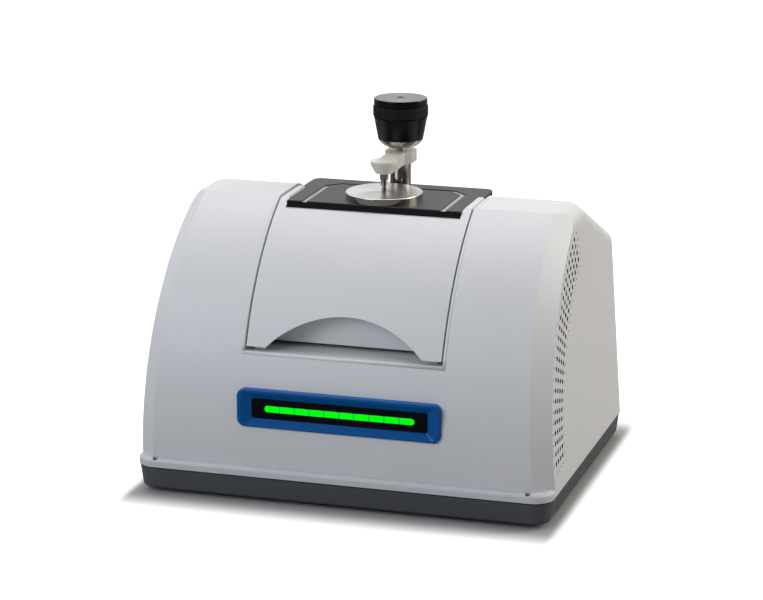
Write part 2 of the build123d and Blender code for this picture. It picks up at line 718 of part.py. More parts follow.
# Pressure knob: bright dome, black cup, rubber grip band, cap
dome_top = knob_bottom + DOME_HEIGHT
cup_top = dome_top + CUP_HEIGHT
band_top = cup_top + BAND_HEIGHT
knob_top = band_top + CAP_HEIGHT
hub_radius = 14.0
knob_bore = SCREW_RADIUS + RUNNING_GAP
with BuildPart() as knob_dome:
    with BuildSketch(column_axis):
        with BuildLine():
            Line((knob_bore, knob_bottom), (DOME_FOOT_RADIUS, knob_bottom))
            ThreePointArc(
                (DOME_FOOT_RADIUS, knob_bottom),
                (KNOB_WAIST_RADIUS - 3.0, knob_bottom + DOME_HEIGHT * 0.42),
                (KNOB_WAIST_RADIUS, dome_top),
            )
            Polyline((KNOB_WAIST_RADIUS, dome_top), (knob_bore, dome_top), (knob_bore, knob_bottom))
        make_face()
    revolve(axis=Axis((0, COLUMN_Y, 0), (0, 0, 1)))
save(knob_dome.part, "knob_dome")

with BuildPart() as knob_cup:
    with BuildSketch(column_axis):
        with BuildLine():
            Polyline(
                (knob_bore, dome_top),
                (KNOB_WAIST_RADIUS, dome_top),
                (KNOB_RADIUS, cup_top),
                (KNOB_RADIUS - 2.0, cup_top),
                (KNOB_RADIUS - 2.0, band_top),
                (knob_bore, band_top),
                close=True,
            )
        make_face()
    revolve(axis=Axis((0, COLUMN_Y, 0), (0, 0, 1)))
save(knob_cup.part, "knob_cup")

band_groove = 0.8
with BuildPart() as knob_band:
    with BuildSketch(Plane.XY.offset(cup_top + band_groove)):
        with Locations((0, COLUMN_Y)):
            Circle(BAND_RADIUS)
            Circle(KNOB_RADIUS - 2.0, mode=Mode.SUBTRACT)
    extrude(amount=BAND_HEIGHT - 2 * band_groove)
    chamfer(knob_band.edges().filter_by(GeomType.CIRCLE).sort_by(SortBy.RADIUS)[-2:], length=0.4)
save(knob_band.part, "knob_band")

cap_round = 1.0
with BuildPart() as knob_cap:
    with BuildSketch(Plane.XY.offset(band_top)):
        with Locations((0, COLUMN_Y)):
            Circle(KNOB_RADIUS)
    extrude(amount=CAP_HEIGHT)
    fillet(knob_cap.edges().group_by(Axis.Z)[-1], radius=cap_round)
save(knob_cap.part, "knob_cap")

# Optical bench: ribbed casting on four rubber isolators
bench_half_x = 160.0
bench_half_y = 118.0
isolator_x = 130.0
isolator_y = 90.0
isolator_radius = 9.0
pocket_depth = 5.0
with BuildPart() as optical_bench:
    with BuildSketch(Plane.XY.offset(BENCH_BOTTOM)):
        RectangleRounded(2 * bench_half_x, 2 * bench_half_y, CORNER_RADIUS)
    extrude(amount=BENCH_TOP - BENCH_BOTTOM)
    with BuildSketch(Plane.XY.offset(BENCH_BOTTOM)):
        with GridLocations(100, 70, 3, 3):
            Rectangle(56, 52)
    extrude(amount=pocket_depth, mode=Mode.SUBTRACT)
save(optical_bench.part, "optical_bench")

tray_floor = FOOT_HEIGHT + BASE_WALL
with BuildPart() as bench_isolators:
    with BuildSketch(Plane.XY.offset(tray_floor)):
        with GridLocations(2 * isolator_x + 30, 2 * isolator_y + 36, 2, 2):
            Circle(isolator_radius)
    extrude(amount=BENCH_BOTTOM - tray_floor)
save(bench_isolators.part, "bench_isolators")


def casting_block(centre_x, front, rear):
    """Open-bottomed cast block on the bench, which lifts the optics to the beam."""
    wall = 4.0
    with BuildPart() as block:
        with BuildSketch(Plane.XY.offset(BENCH_TOP)):
            with Locations((centre_x, (front + rear) / 2)):
                RectangleRounded(2 * BLOCK_HALF, rear - front, 6.0)
        extrude(amount=BLOCK_TOP - BENCH_TOP)
        with BuildSketch(Plane.XY.offset(BENCH_TOP)):
            with Locations((centre_x, (front + rear) / 2)):
                Rectangle(2 * (BLOCK_HALF - wall), rear - front - 2 * wall)
        extrude(amount=BLOCK_TOP - BENCH_TOP - wall, mode=Mode.SUBTRACT)
    return block.part


def beam_plane(x, y, heading):
    """Plane at beam height that faces a heading in degrees from +X, its own Y up."""
    turn = radians(heading)
    return Plane(origin=(x, y, BEAM_HEIGHT), x_dir=(-sin(turn), cos(turn), 0), z_dir=(cos(turn), sin(turn), 0))


def optic_mount(plane, depth):
    """Ring that holds a round optic, on a foot that stands on its block."""
    with BuildPart() as mount:
        with BuildSketch(plane.offset(-depth / 2)):
            Circle(MIRROR_RADIUS + 4.0)
            Rectangle(2 * MIRROR_RADIUS - 4, BEAM_HEIGHT - BLOCK_TOP, align=(Align.CENTER, Align.MAX))
            Circle(MIRROR_RADIUS, mode=Mode.SUBTRACT)
        extrude(amount=depth)
    return mount.part


def round_optic(plane):
    """Round mirror or plate centred on its plane."""
    with BuildPart() as optic:
        with BuildSketch(plane.offset(-MIRROR_THICK / 2)):
            Circle(MIRROR_RADIUS)
        extrude(amount=MIRROR_THICK)
    return optic.part


# Two cast blocks beside the bay: interferometer on the left, detector on the right
mount_depth = 8.0
block_rear = 95.0
save(casting_block(-BLOCK_CENTRE_X, -82.0, block_rear), "interferometer_block")
save(casting_block(BLOCK_CENTRE_X, -34.0, block_rear), "detector_block")

# Beamsplitter, fixed mirror and detector mirror in their ring mounts
splitter_plane = beam_plane(-SPLITTER_X, 0, 135)
fixed_plane = beam_plane(-SPLITTER_X - 26, 0, 0)
detector_plane = beam_plane(SPLITTER_X, 0, 135)
save(optic_mount(splitter_plane, mount_depth), "beamsplitter_mount")
save(round_optic(splitter_plane), "beamsplitter")
save(optic_mount(fixed_plane, mount_depth), "fixed_mirror_mount")
save(round_optic(fixed_plane), "fixed_mirror")
save(optic_mount(detector_plane, mount_depth), "detector_mirror_mount")
save(round_optic(detector_plane), "detector_mirror")

# Moving mirror on its carriage rod, which slides through the drive coil
mirror_front = -36.0
carriage_plate = 3.0
rod_radius = 4.0
rod_end = -86.0
coil_front = -76.0
coil_rear = -52.0
coil_radius = 15.0
with BuildPart() as moving_mirror:
    with BuildSketch(Plane.XZ.offset(-mirror_front)):
        with Locations((-SPLITTER_X, BEAM_HEIGHT)):
            Circle(MIRROR_RADIUS)
    extrude(amount=MIRROR_THICK)
save(moving_mirror.part, "moving_mirror")

with BuildPart() as mirror_carriage:
    with BuildSketch(Plane.XZ.offset(MIRROR_THICK - mirror_front)):
        with Locations((-SPLITTER_X, BEAM_HEIGHT)):
            Circle(MIRROR_RADIUS)
    extrude(amount=carriage_plate)
    with BuildSketch(Plane.XZ.offset(MIRROR_THICK + carriage_plate - mirror_front)):
        with Locations((-SPLITTER_X, BEAM_HEIGHT)):
            Circle(rod_radius)
    extrude(amount=mirror_front - MIRROR_THICK - carriage_plate - rod_end)
save(mirror_carriage.part, "mirror_carriage")

with BuildPart() as drive_coil:
    with BuildSketch(Plane.XZ.offset(-coil_rear)):
        with Locations((-SPLITTER_X, BEAM_HEIGHT)):
            Circle(coil_radius)
            Rectangle(coil_radius, BEAM_HEIGHT - BLOCK_TOP, align=(Align.CENTER, Align.MAX))
            Circle(rod_radius + RUNNING_GAP, mode=Mode.SUBTRACT)
    extrude(amount=coil_rear - coil_front)
save(drive_coil.part, "drive_coil")

# Infrared source: finned housing with a glowing rod and a mirror at the bore's end
source_x = -SPLITTER_X
source_front = 60.0
source_rear = 90.0
source_half = 16.0
source_top = 186.0
source_bore = 10.0
rod_y = 74.0
element_radius = 2.5
element_foot = 150.0
source_mirror_thick = 3.0
bore_end = 84.0
with BuildPart() as source_housing:
    with BuildSketch(Plane.XY.offset(BLOCK_TOP)):
        with Locations((source_x, (source_front + source_rear) / 2)):
            Rectangle(2 * source_half, source_rear - source_front)
    extrude(amount=source_top - BLOCK_TOP)
    with BuildSketch(Plane.XY.offset(source_top)):
        with Locations((source_x, (source_front + source_rear) / 2)):
            with GridLocations(6.5, 0, 4, 1):
                Rectangle(3.5, source_rear - source_front)
    extrude(amount=-8.0, mode=Mode.SUBTRACT)
    with BuildSketch(Plane.XZ.offset(-source_front)):
        with Locations((source_x, BEAM_HEIGHT)):
            Circle(source_bore)
    extrude(amount=source_front - bore_end, mode=Mode.SUBTRACT)
    with BuildSketch(Plane.XY.offset(element_foot)):
        with Locations((source_x, rod_y)):
            Circle(element_radius)
    extrude(amount=source_bore, mode=Mode.SUBTRACT)
save(source_housing.part, "source_housing")

with BuildPart() as source_element:
    with BuildSketch(Plane.XY.offset(element_foot)):
        with Locations((source_x, rod_y)):
            Circle(element_radius)
    extrude(amount=BEAM_HEIGHT + 5.0 - element_foot)
save(source_element.part, "source_element")

with BuildPart() as source_mirror:
    with BuildSketch(Plane.XZ.offset(-bore_end)):
        with Locations((source_x, BEAM_HEIGHT)):
            Circle(source_bore)
    extrude(amount=source_mirror_thick)
save(source_mirror.part, "source_mirror")

# Reference laser in its clamp, and the photodiode that reads it
laser_x = -SPLITTER_X - 24.0
laser_radius = 5.0
clamp_half = 7.0
with BuildPart() as laser_clamp:
    with BuildSketch(Plane.XZ.offset(-66.0)):
        with Locations((laser_x, BLOCK_TOP)):
            Rectangle(2 * clamp_half, BEAM_HEIGHT - BLOCK_TOP + clamp_half, align=(Align.CENTER, Align.MIN))
        with Locations((laser_x, BEAM_HEIGHT)):
            Circle(laser_radius, mode=Mode.SUBTRACT)
    extrude(amount=-12.0)
save(laser_clamp.part, "laser_clamp")

with BuildPart() as reference_laser:
    with BuildSketch(Plane.XZ.offset(-56.0)):
        with Locations((laser_x, BEAM_HEIGHT)):
            Circle(laser_radius)
    extrude(amount=-32.0)
save(reference_laser.part, "reference_laser")

with BuildPart() as laser_detector:
    with BuildSketch(Plane.XY.offset(BLOCK_TOP)):
        with Locations((-100.0, 26.0)):
            Rectangle(8, 8)
    extrude(amount=BEAM_HEIGHT - BLOCK_TOP - 6.0)
    with BuildSketch(Plane.XY.offset(BEAM_HEIGHT - 6.0)):
        with Locations((-100.0, 26.0)):
            Circle(3.5)
    extrude(amount=6.0)
save(laser_detector.part, "laser_detector")

# Detector module: sealed can with a snout that faces its mirror
with BuildPart() as detector_module:
    with BuildSketch(Plane.XY.offset(BLOCK_TOP)):
        with Locations((SPLITTER_X, 62.0)):
            RectangleRounded(36, 40, 4)
    extrude(amount=48.0)
    with BuildSketch(Plane.XZ.offset(-42.0)):
        with Locations((SPLITTER_X, BEAM_HEIGHT)):
            Circle(9.0)
    extrude(amount=8.0)
    with BuildSketch(Plane.XZ.offset(-34.0)):
        with Locations((SPLITTER_X, BEAM_HEIGHT)):
            Circle(6.0)
    extrude(amount=-5.0, mode=Mode.SUBTRACT)
save(detector_module.part, "detector_module")

# Desiccant cartridge on the bench
cartridge_x = -58.0
cartridge_y = 82.0
cartridge_radius = 18.0
with BuildPart() as desiccant_cartridge:
    with BuildSketch(Plane.XY.offset(BENCH_TOP)):
        with Locations((cartridge_x, cartridge_y)):
            Circle(cartridge_radius)
    extrude(amount=52.0)
    with BuildSketch(Plane.XY.offset(BENCH_TOP + 52.0)):
        with Locations((cartridge_x, cartridge_y)):
            Circle(cartridge_radius + 2.0)
    extrude(amount=6.0)
save(desiccant_cartridge.part, "desiccant_cartridge")

# Circuit boards on their posts
main_board_z = 54.0
post_radius = 3.0
with BuildPart() as main_board:
    with BuildSketch(Plane.XY.offset(main_board_z)):
        with Locations((0, -42)):
            Rectangle(150, 110)
    extrude(amount=board_thick)
    with BuildSketch(Plane.XY.offset(BENCH_TOP)):
        with Locations((0, -42)):
            with GridLocations(138, 98, 2, 2):
                Circle(post_radius)
    extrude(amount=main_board_z - BENCH_TOP)
    with BuildSketch(Plane.XY.offset(main_board_z + board_thick)):
        with Locations((-30, -45)):
            Rectangle(24, 24)
        with Locations((25, -60), (25, -25), (-5, -10)):
            Rectangle(16, 12)
    extrude(amount=3.0)
save(main_board.part, "main_board")

power_board_z = 48.0
power_top = power_board_z + board_thick
with BuildPart() as power_board:
    with BuildSketch(Plane.XY.offset(power_board_z)):
        with Locations((24, 74)):
            Rectangle(108, 86)
    extrude(amount=board_thick)
    with BuildSketch(Plane.XY.offset(BENCH_TOP)):
        with Locations((24, 74)):
            with GridLocations(96, 74, 2, 2):
                Circle(post_radius)
    extrude(amount=power_board_z - BENCH_TOP)
    with BuildSketch(Plane.XY.offset(power_top)):
        with Locations((50, 60)):
            Rectangle(30, 26)
    extrude(amount=18.0)
    with BuildSketch(Plane.XY.offset(power_top)):
        with Locations((15, 50), (15, 66), (-6, 50)):
            Circle(6.0)
    extrude(amount=16.0)
save(power_board.part, "power_board")

# Rear port panel: shallow tray behind the cover's opening
panel_front = 127.0
panel_thick = 2.0
panel_edge = 4.0
port_gap = 0.2
port_mouth = panel_front + panel_thick + 0.6
inlet_x = 58.0
switch_x = 32.0
lan_x = 4.0
usb_x = -20.0
inlet_size = (14.0, 13.0)
switch_size = (18.0, 25.0)
lan_size = (16.0, 13.5)
usb_size = (15.0, 16.0)


def port_body(x, size, depth):
    """Plain body of a socket that stands on the power board and passes the panel."""
    with BuildPart() as body:
        with BuildSketch(Plane.XZ.offset(-port_mouth)):
            with Locations((x, power_top)):
                Rectangle(*size, align=(Align.CENTER, Align.MIN))
        extrude(amount=depth)
    return body.part


with BuildPart() as rear_panel:
    with BuildSketch(Plane.XZ.offset(-panel_front)):
        with Locations((0, (port_panel_low + port_panel_high) / 2)):
            RectangleRounded(
                2 * (port_panel_half + panel_edge), port_panel_high - port_panel_low + 2 * panel_edge, 6.0
            )
    extrude(amount=-BODY_DEPTH / 2)
    add(seat_form, mode=Mode.INTERSECT)
    with BuildSketch(Plane.XZ.offset(-panel_front - panel_thick)):
        with Locations((0, (port_panel_low + port_panel_high) / 2)):
            RectangleRounded(2 * port_panel_half, port_panel_high - port_panel_low, 4.0)
    extrude(amount=-BODY_DEPTH / 2, mode=Mode.SUBTRACT)
    with BuildSketch(Plane.XZ.offset(-panel_front)):
        for port_x, port_size in (
            (inlet_x, inlet_size),
            (switch_x, switch_size),
            (lan_x, lan_size),
            (usb_x, usb_size),
        ):
            with Locations((port_x, power_top + port_size[1] / 2)):
                Rectangle(port_size[0] + 2 * port_gap, port_size[1] + 2 * port_gap)
    extrude(amount=-panel_thick, mode=Mode.SUBTRACT)
save(rear_panel.part, "rear_panel")

with BuildPart() as dc_inlet:
    add(port_body(inlet_x, inlet_size, 20.0))
    with BuildSketch(Plane.XZ.offset(-port_mouth)):
        with Locations((inlet_x, power_top + 7.0)):
            Circle(4.4)
            Circle(1.2, mode=Mode.SUBTRACT)
    extrude(amount=10.0, mode=Mode.SUBTRACT)
save(dc_inlet.part, "dc_inlet")

with BuildPart() as lan_port:
    add(port_body(lan_x, lan_size, 21.0))
    with BuildSketch(Plane.XZ.offset(-port_mouth)):
        with Locations((lan_x, power_top + 6.6)):
            Rectangle(11.8, 8.2)
        with Locations((lan_x, power_top + 2.2)):
            Rectangle(6.0, 3.0)
    extrude(amount=14.0, mode=Mode.SUBTRACT)
save(lan_port.part, "lan_port")

with BuildPart() as usb_ports:
    add(port_body(usb_x, usb_size, 18.0))
    with BuildSketch(Plane.XZ.offset(-port_mouth)):
        with Locations((usb_x, power_top + usb_size[1] / 2)):
            with GridLocations(0, 7.6, 1, 2):
                Rectangle(12.6, 5.2)
    extrude(amount=14.0, mode=Mode.SUBTRACT)
    with BuildSketch(Plane.XZ.offset(-port_mouth + 1.0)):
        with Locations((usb_x, power_top + usb_size[1] / 2)):
            with GridLocations(0, 7.6, 1, 2):
                Rectangle(11.0, 1.6)
    extrude(amount=13.0)
save(usb_ports.part, "usb_ports")

# Rocker power switch, at rest tilted to off
rocker_tilt = 8.0
rocker_y = 123.0
rocker_z = power_top + switch_size[1] / 2
rocker_half = 6.2
rocker_reach = 7.4
rocker_front = 6.4
rocker_back = 3.0
rocker_pin = 1.2
pin_length = 1.5
with BuildPart() as switch_housing:
    add(port_body(switch_x, switch_size, 20.0))
    with BuildSketch(Plane.XZ.offset(-port_mouth)):
        with Locations((switch_x, rocker_z)):
            Rectangle(2 * (rocker_half + port_gap), 2 * (rocker_reach + 1.6))
    extrude(amount=14.0, mode=Mode.SUBTRACT)
    with BuildSketch(Plane.YZ.offset(switch_x)):
        with Locations((rocker_y, rocker_z)):
            Circle(rocker_pin + RUNNING_GAP)
    extrude(amount=rocker_half + pin_length + port_gap, both=True, mode=Mode.SUBTRACT)
save(switch_housing.part, "switch_housing")

tilt = radians(rocker_tilt)
rocker_plane = Plane(
    origin=(switch_x, rocker_y, rocker_z), x_dir=(0, cos(tilt), sin(tilt)), z_dir=(1, 0, 0)
)
with BuildPart() as power_rocker:
    with BuildSketch(rocker_plane):
        with BuildLine():
            Polyline(
                (-rocker_back, -rocker_back),
                (rocker_front, -rocker_reach),
                (rocker_front - 1.2, 0),
                (rocker_front, rocker_reach),
                (-rocker_back, rocker_back),
                close=True,
            )
        make_face()
    extrude(amount=rocker_half, both=True)
    with BuildSketch(rocker_plane):
        Circle(rocker_pin)
    extrude(amount=rocker_half + pin_length, both=True)
save(power_rocker.part, "power_rocker")

# Cooling fan behind the right-hand vents
fan_y = -68.0
fan_half = 30.0
fan_z = BENCH_TOP + fan_half
fan_x = 147.0
fan_depth = 15.0
fan_bore = 28.0
fan_hub = 12.0
fan_blades = 7
fan_pin = 1.5
hub_plate = 2.0
blade_tip = 26.8
with BuildPart() as fan_frame:
    with BuildSketch(Plane.YZ.offset(fan_x)):
        with Locations((fan_y, fan_z)):
            RectangleRounded(2 * fan_half, 2 * fan_half, 3.0)
            Circle(fan_bore, mode=Mode.SUBTRACT)
    extrude(amount=fan_depth)
    with BuildSketch(Plane.YZ.offset(fan_x)):
        with Locations((fan_y, fan_z)):
            Circle(fan_hub)
            with PolarLocations(fan_bore / 2, 3):
                Rectangle(fan_bore + 2, 3.0)
    extrude(amount=hub_plate)
    with BuildSketch(Plane.YZ.offset(fan_x + hub_plate)):
        with Locations((fan_y, fan_z)):
            Circle(fan_pin)
    extrude(amount=fan_depth - 2 * hub_plate)
save(fan_frame.part, "fan_frame")

rotor_start = fan_x + hub_plate + 0.5
rotor_depth = fan_depth - hub_plate - 1.0
blade_pitch = 38.0
blade_thick = 1.4
with BuildPart() as fan_rotor:
    with BuildSketch(Plane.YZ.offset(rotor_start)):
        with Locations((fan_y, fan_z)):
            Circle(fan_hub)
    extrude(amount=rotor_depth)
    for blade in range(fan_blades):
        spin = radians(blade * 360 / fan_blades)
        out = Vector(0, cos(spin), sin(spin))
        across = Vector(1, 0, 0) * cos(radians(blade_pitch)) + Vector(0, -sin(spin), cos(spin)) * sin(
            radians(blade_pitch)
        )
        root = Vector(rotor_start + rotor_depth / 2, fan_y, fan_z) + out * (fan_hub - 1.0)
        with BuildSketch(Plane(origin=root, x_dir=across, z_dir=out)):
            Rectangle(rotor_depth, blade_thick)
        extrude(amount=blade_tip - fan_hub + 1.0)
    with BuildSketch(Plane.YZ.offset(rotor_start)):
        with Locations((fan_y, fan_z)):
            Circle(fan_pin + RUNNING_GAP)
    extrude(amount=rotor_depth, mode=Mode.SUBTRACT)
save(fan_rotor.part, "fan_rotor")
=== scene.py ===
"""Looks of a compact bench infrared spectrometer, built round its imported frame.

Lengths are metres unless a name ends in mm. X is to the right seen from the front, Y to the back, Z up.
"""

from __future__ import annotations

import json
import logging
import math
from collections.abc import Callable
from dataclasses import dataclass, field
from enum import Enum

import bmesh
import bpy
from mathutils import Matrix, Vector

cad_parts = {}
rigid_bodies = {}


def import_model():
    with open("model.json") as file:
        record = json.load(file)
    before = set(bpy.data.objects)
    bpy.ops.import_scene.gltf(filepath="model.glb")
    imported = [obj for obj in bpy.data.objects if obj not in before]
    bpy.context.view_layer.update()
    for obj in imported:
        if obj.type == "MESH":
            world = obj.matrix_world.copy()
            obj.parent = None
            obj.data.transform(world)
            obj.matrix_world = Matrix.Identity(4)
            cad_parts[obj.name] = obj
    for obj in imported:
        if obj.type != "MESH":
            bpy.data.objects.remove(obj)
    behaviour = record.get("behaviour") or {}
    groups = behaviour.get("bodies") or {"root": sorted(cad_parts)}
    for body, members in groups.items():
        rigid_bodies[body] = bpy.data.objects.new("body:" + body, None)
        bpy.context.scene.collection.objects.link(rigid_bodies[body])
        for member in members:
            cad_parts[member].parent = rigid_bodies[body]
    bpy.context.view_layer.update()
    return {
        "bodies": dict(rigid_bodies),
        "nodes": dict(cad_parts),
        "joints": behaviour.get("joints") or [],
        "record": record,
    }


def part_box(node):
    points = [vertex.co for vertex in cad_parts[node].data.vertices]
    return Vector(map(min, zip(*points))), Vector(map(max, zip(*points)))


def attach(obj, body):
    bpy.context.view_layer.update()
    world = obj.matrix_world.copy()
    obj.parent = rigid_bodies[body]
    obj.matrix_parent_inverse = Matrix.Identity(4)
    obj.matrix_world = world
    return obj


LOG = logging.getLogger("spectrometer")

MM = 0.001

# Faint clouds in a finish's colour: their size, and how far roughness follows them
CLOUD_MM = 45.0
SHINE_SPREAD = 0.08
# The wave texture draws about three rings to each unit of its scale
RINGS_PER_UNIT = 3
# Brushed grain is twenty times as long as it is wide
BRUSH_STRETCH = 0.05

# Sockets of a Mix node for colours: both colours, and their blend
MIX_A, MIX_B, MIX_RESULT = 6, 7, 2

# Least Z of a normal where a face lies flat, and most where it stands
FLAT = 0.9
STANDING = 0.5

# Photograph frame and the camera that was fitted to it
IMAGE_WIDTH_PX = 763
FOCAL_PX = 2786.0
SENSOR_MM = 36.0
CAMERA_YAW = 16.91
CAMERA_PITCH = 14.88
CAMERA_DISTANCE = 2.33595
CAMERA_TARGET = (-0.00466, 0.0, 0.14154)

# Curved front: its axis as Y and Z, and its radius
FASCIA_AXIS = (0.0662, 0.0567)
FASCIA_RADIUS = 0.201


def linear(hex_colour: str) -> tuple[float, float, float, float]:
    """Turn an sRGB hex colour into linear values.

    Args:
        hex_colour: Six hex digits after a hash sign.

    Returns:
        Linear red, green and blue, and an alpha of one.
    """
    parts = [int(hex_colour[i : i + 2], 16) / 255 for i in (1, 3, 5)]
    values = [p / 12.92 if p <= 0.04045 else ((p + 0.055) / 1.055) ** 2.4 for p in parts]
    return (values[0], values[1], values[2], 1.0)


def add_node(tree: bpy.types.NodeTree, kind: str, links: dict | None = None, **settings) -> bpy.types.Node:
    """Add a node with its settings and links.

    Args:
        tree: Node tree that receives the node.
        kind: Blender's name of the node type.
        links: Input name or index to a value, or to an output socket that feeds it.
        **settings: Properties of the node.

    Returns:
        The new node.
    """
    node = tree.nodes.new(kind)
    for name, value in settings.items():
        setattr(node, name, value)
    for name, value in (links or {}).items():
        socket = node.inputs[name]
        if isinstance(value, bpy.types.NodeSocket):
            tree.links.new(value, socket)
        else:
            socket.default_value = value
    return node


class Surface(Enum):
    """How a surface was made, which sets the pattern that is drawn on it."""

    MOULDED = "spark-eroded mould texture"
    TURNED = "fine rings from a lathe"
    BRUSHED = "straight brushing"
    CAST = "sand-cast grain"
    SMOOTH = "polished"


# Octaves of noise in each kind of grain
GRAIN_DETAIL = {Surface.MOULDED: 2.0, Surface.BRUSHED: 3.0, Surface.CAST: 5.0}


@dataclass(frozen=True)
class Finish:
    """One finish: colour, shine and the size of its surface pattern."""

    name: str
    colour: str
    surface: Surface
    roughness: float
    metallic: float = 0.0
    ior: float = 1.5
    specular: float = 0.5
    anisotropic: float = 0.0
    # Real grain is a tenth of a millimetre or finer, and is drawn as coarse as it needs to show
    grain_mm: float = 1.2
    relief_mm: float = 0.02
    mottle: float = 0.03
    emission: str | None = None
    emission_strength: float = 1.0
    transmission: float = 0.0
    lathe_centre: tuple[float, float] = (0.0, 0.0)

    def material(self) -> bpy.types.Material:
        """Build the finish as a node material, once.

        Returns:
            The Blender material.
        """
        known = bpy.data.materials.get(self.name)
        if known:
            return known
        made = bpy.data.materials.new(self.name)
        made.use_nodes = True
        tree = made.node_tree
        shader = tree.nodes["Principled BSDF"]
        shader.inputs["Metallic"].default_value = self.metallic
        if self.metallic < 1:
            shader.inputs["IOR"].default_value = self.ior
            shader.inputs["Specular IOR Level"].default_value = self.specular
        shader.inputs["Transmission Weight"].default_value = self.transmission
        if self.emission:
            shader.inputs["Emission Color"].default_value = linear(self.emission)
            shader.inputs["Emission Strength"].default_value = self.emission_strength
        self._colour(tree, shader)
        self._relief(tree, shader)
        if self.anisotropic:
            shader.inputs["Anisotropic"].default_value = self.anisotropic
            outwards = add_node(
                tree,
                "ShaderNodeVectorMath",
                {0: self._coordinates(tree), 1: (1.0, 1.0, 0.0)},
                operation="MULTIPLY",
            )
            along = add_node(
                tree,
                "ShaderNodeVectorMath",
                {0: (0.0, 0.0, 1.0), 1: outwards.outputs[0]},
                operation="CROSS_PRODUCT",
            )
            tree.links.new(along.outputs[0], shader.inputs["Tangent"])
        return made

    def _coordinates(self, tree: bpy.types.NodeTree) -> bpy.types.NodeSocket:
        """Add object coordinates, centred on the lathe axis where there is one.

        Args:
            tree: Node tree of the finish.

        Returns:
            The socket that gives them.
        """
        texture = add_node(tree, "ShaderNodeTexCoord")
        shift = (-self.lathe_centre[0], -self.lathe_centre[1], 0.0)
        links = {"Vector": texture.outputs["Object"], "Location": shift}
        return add_node(tree, "ShaderNodeMapping", links).outputs[0]

    def _colour(self, tree: bpy.types.NodeTree, shader: bpy.types.Node) -> None:
        """Colour with a faint cloudy variation, and roughness that follows it.

        Args:
            tree: Node tree of the finish.
            shader: Shader that receives both.
        """
        base = linear(self.colour)
        if not self.mottle:
            shader.inputs["Base Color"].default_value = base
            shader.inputs["Roughness"].default_value = self.roughness
            return
        place = self._coordinates(tree)
        cloud = add_node(
            tree,
            "ShaderNodeTexNoise",
            {"Vector": place, "Scale": 1 / (CLOUD_MM * MM), "Detail": 4.0, "Roughness": 0.6},
        )
        dark = tuple(c * (1 - self.mottle) for c in base[:3]) + (1.0,)
        light = tuple(min(1.0, c * (1 + self.mottle)) for c in base[:3]) + (1.0,)
        blend = add_node(tree, "ShaderNodeMix", {"Factor": cloud.outputs["Fac"]}, data_type="RGBA")
        blend.inputs[MIX_A].default_value = dark
        blend.inputs[MIX_B].default_value = light
        tree.links.new(blend.outputs[MIX_RESULT], shader.inputs["Base Color"])
        spread = add_node(
            tree,
            "ShaderNodeMapRange",
            {
                "Value": cloud.outputs["Fac"],
                "To Min": self.roughness * (1 - SHINE_SPREAD),
                "To Max": self.roughness * (1 + SHINE_SPREAD),
            },
        )
        tree.links.new(spread.outputs[0], shader.inputs["Roughness"])

    def _relief(self, tree: bpy.types.NodeTree, shader: bpy.types.Node) -> None:
        """Bump for the way the surface was made.

        Args:
            tree: Node tree of the finish.
            shader: Shader that receives the bump.
        """
        if self.surface is Surface.SMOOTH:
            return
        place = self._coordinates(tree)
        scale = 1 / (self.grain_mm * MM)
        if self.surface is Surface.TURNED:
            links = {"Vector": place, "Scale": scale / RINGS_PER_UNIT, "Distortion": 0.6, "Detail": 1.0}
            pattern = add_node(tree, "ShaderNodeTexWave", links, wave_type="RINGS", rings_direction="Z")
        else:
            if self.surface is Surface.BRUSHED:
                stretch = {"Vector": place, "Scale": (BRUSH_STRETCH, 1.0, 1.0)}
                place = add_node(tree, "ShaderNodeMapping", stretch).outputs[0]
            links = {"Vector": place, "Scale": scale, "Detail": GRAIN_DETAIL[self.surface]}
            pattern = add_node(tree, "ShaderNodeTexNoise", links)
        links = {"Height": pattern.outputs["Fac"], "Strength": 1.0, "Distance": self.relief_mm * MM}
        tree.links.new(add_node(tree, "ShaderNodeBump", links).outputs[0], shader.inputs["Normal"])


# Where the two lathe axes stand, as X and Y
PUCK_AXIS = (0.0, -0.00765)
KNOB_AXIS = (0.0, 0.0399)

# Painted ABS, spark-eroded mould: soft sheen, hair-fine grain
COVER_WHITE = Finish(
    "moulded_abs_white", "#D6D8DB", Surface.MOULDED, 0.42, grain_mm=1.1, relief_mm=0.03, specular=0.4
)
# Dark conductive paint inside the cover, seen only through the vents; the same colour on the walls of the
# vent holes is painted shade
SHIELD_PAINT_AND_VENT_SHADE = Finish("shield_paint_and_vent_shade", "#232426", Surface.MOULDED, 0.8, specular=0.2)
# The same moulding in grey, for the trim across the foot of the front
TRIM_GREY = Finish(
    "moulded_abs_grey", "#C9CCD0", Surface.MOULDED, 0.42, grain_mm=1.1, relief_mm=0.03, specular=0.4
)
# Dark base moulding: matt with a dull sheen
BASE_DARK = Finish(
    "moulded_pc_abs_dark", "#4D5055", Surface.MOULDED, 0.5, grain_mm=1.0, relief_mm=0.04, specular=0.3
)
# Grey moulding of the bay liner: flatter than the cover, and lit less
LINER_GREY = Finish(
    "moulded_abs_liner", "#C3C6C8", Surface.MOULDED, 0.55, grain_mm=1.2, relief_mm=0.02, specular=0.3
)
# Blue tinted frame: satin plastic with a clean highlight
BEZEL_BLUE = Finish(
    "satin_pc_blue", "#00559A", Surface.MOULDED, 0.26, grain_mm=0.8, relief_mm=0.02, specular=0.16
)
# Smoked window: near black and glossy
WINDOW_BLACK = Finish(
    "smoked_acrylic_window", "#02050D", Surface.SMOOTH, 0.1, ior=1.49, specular=0.12, mottle=0.0
)
# Lit light pipes: pure green, brighter than anything else
LIGHT_GREEN = Finish(
    "lit_green_acrylic", "#021A03", Surface.SMOOTH, 0.3, emission="#00FF06", mottle=0.0, specular=0.1
)
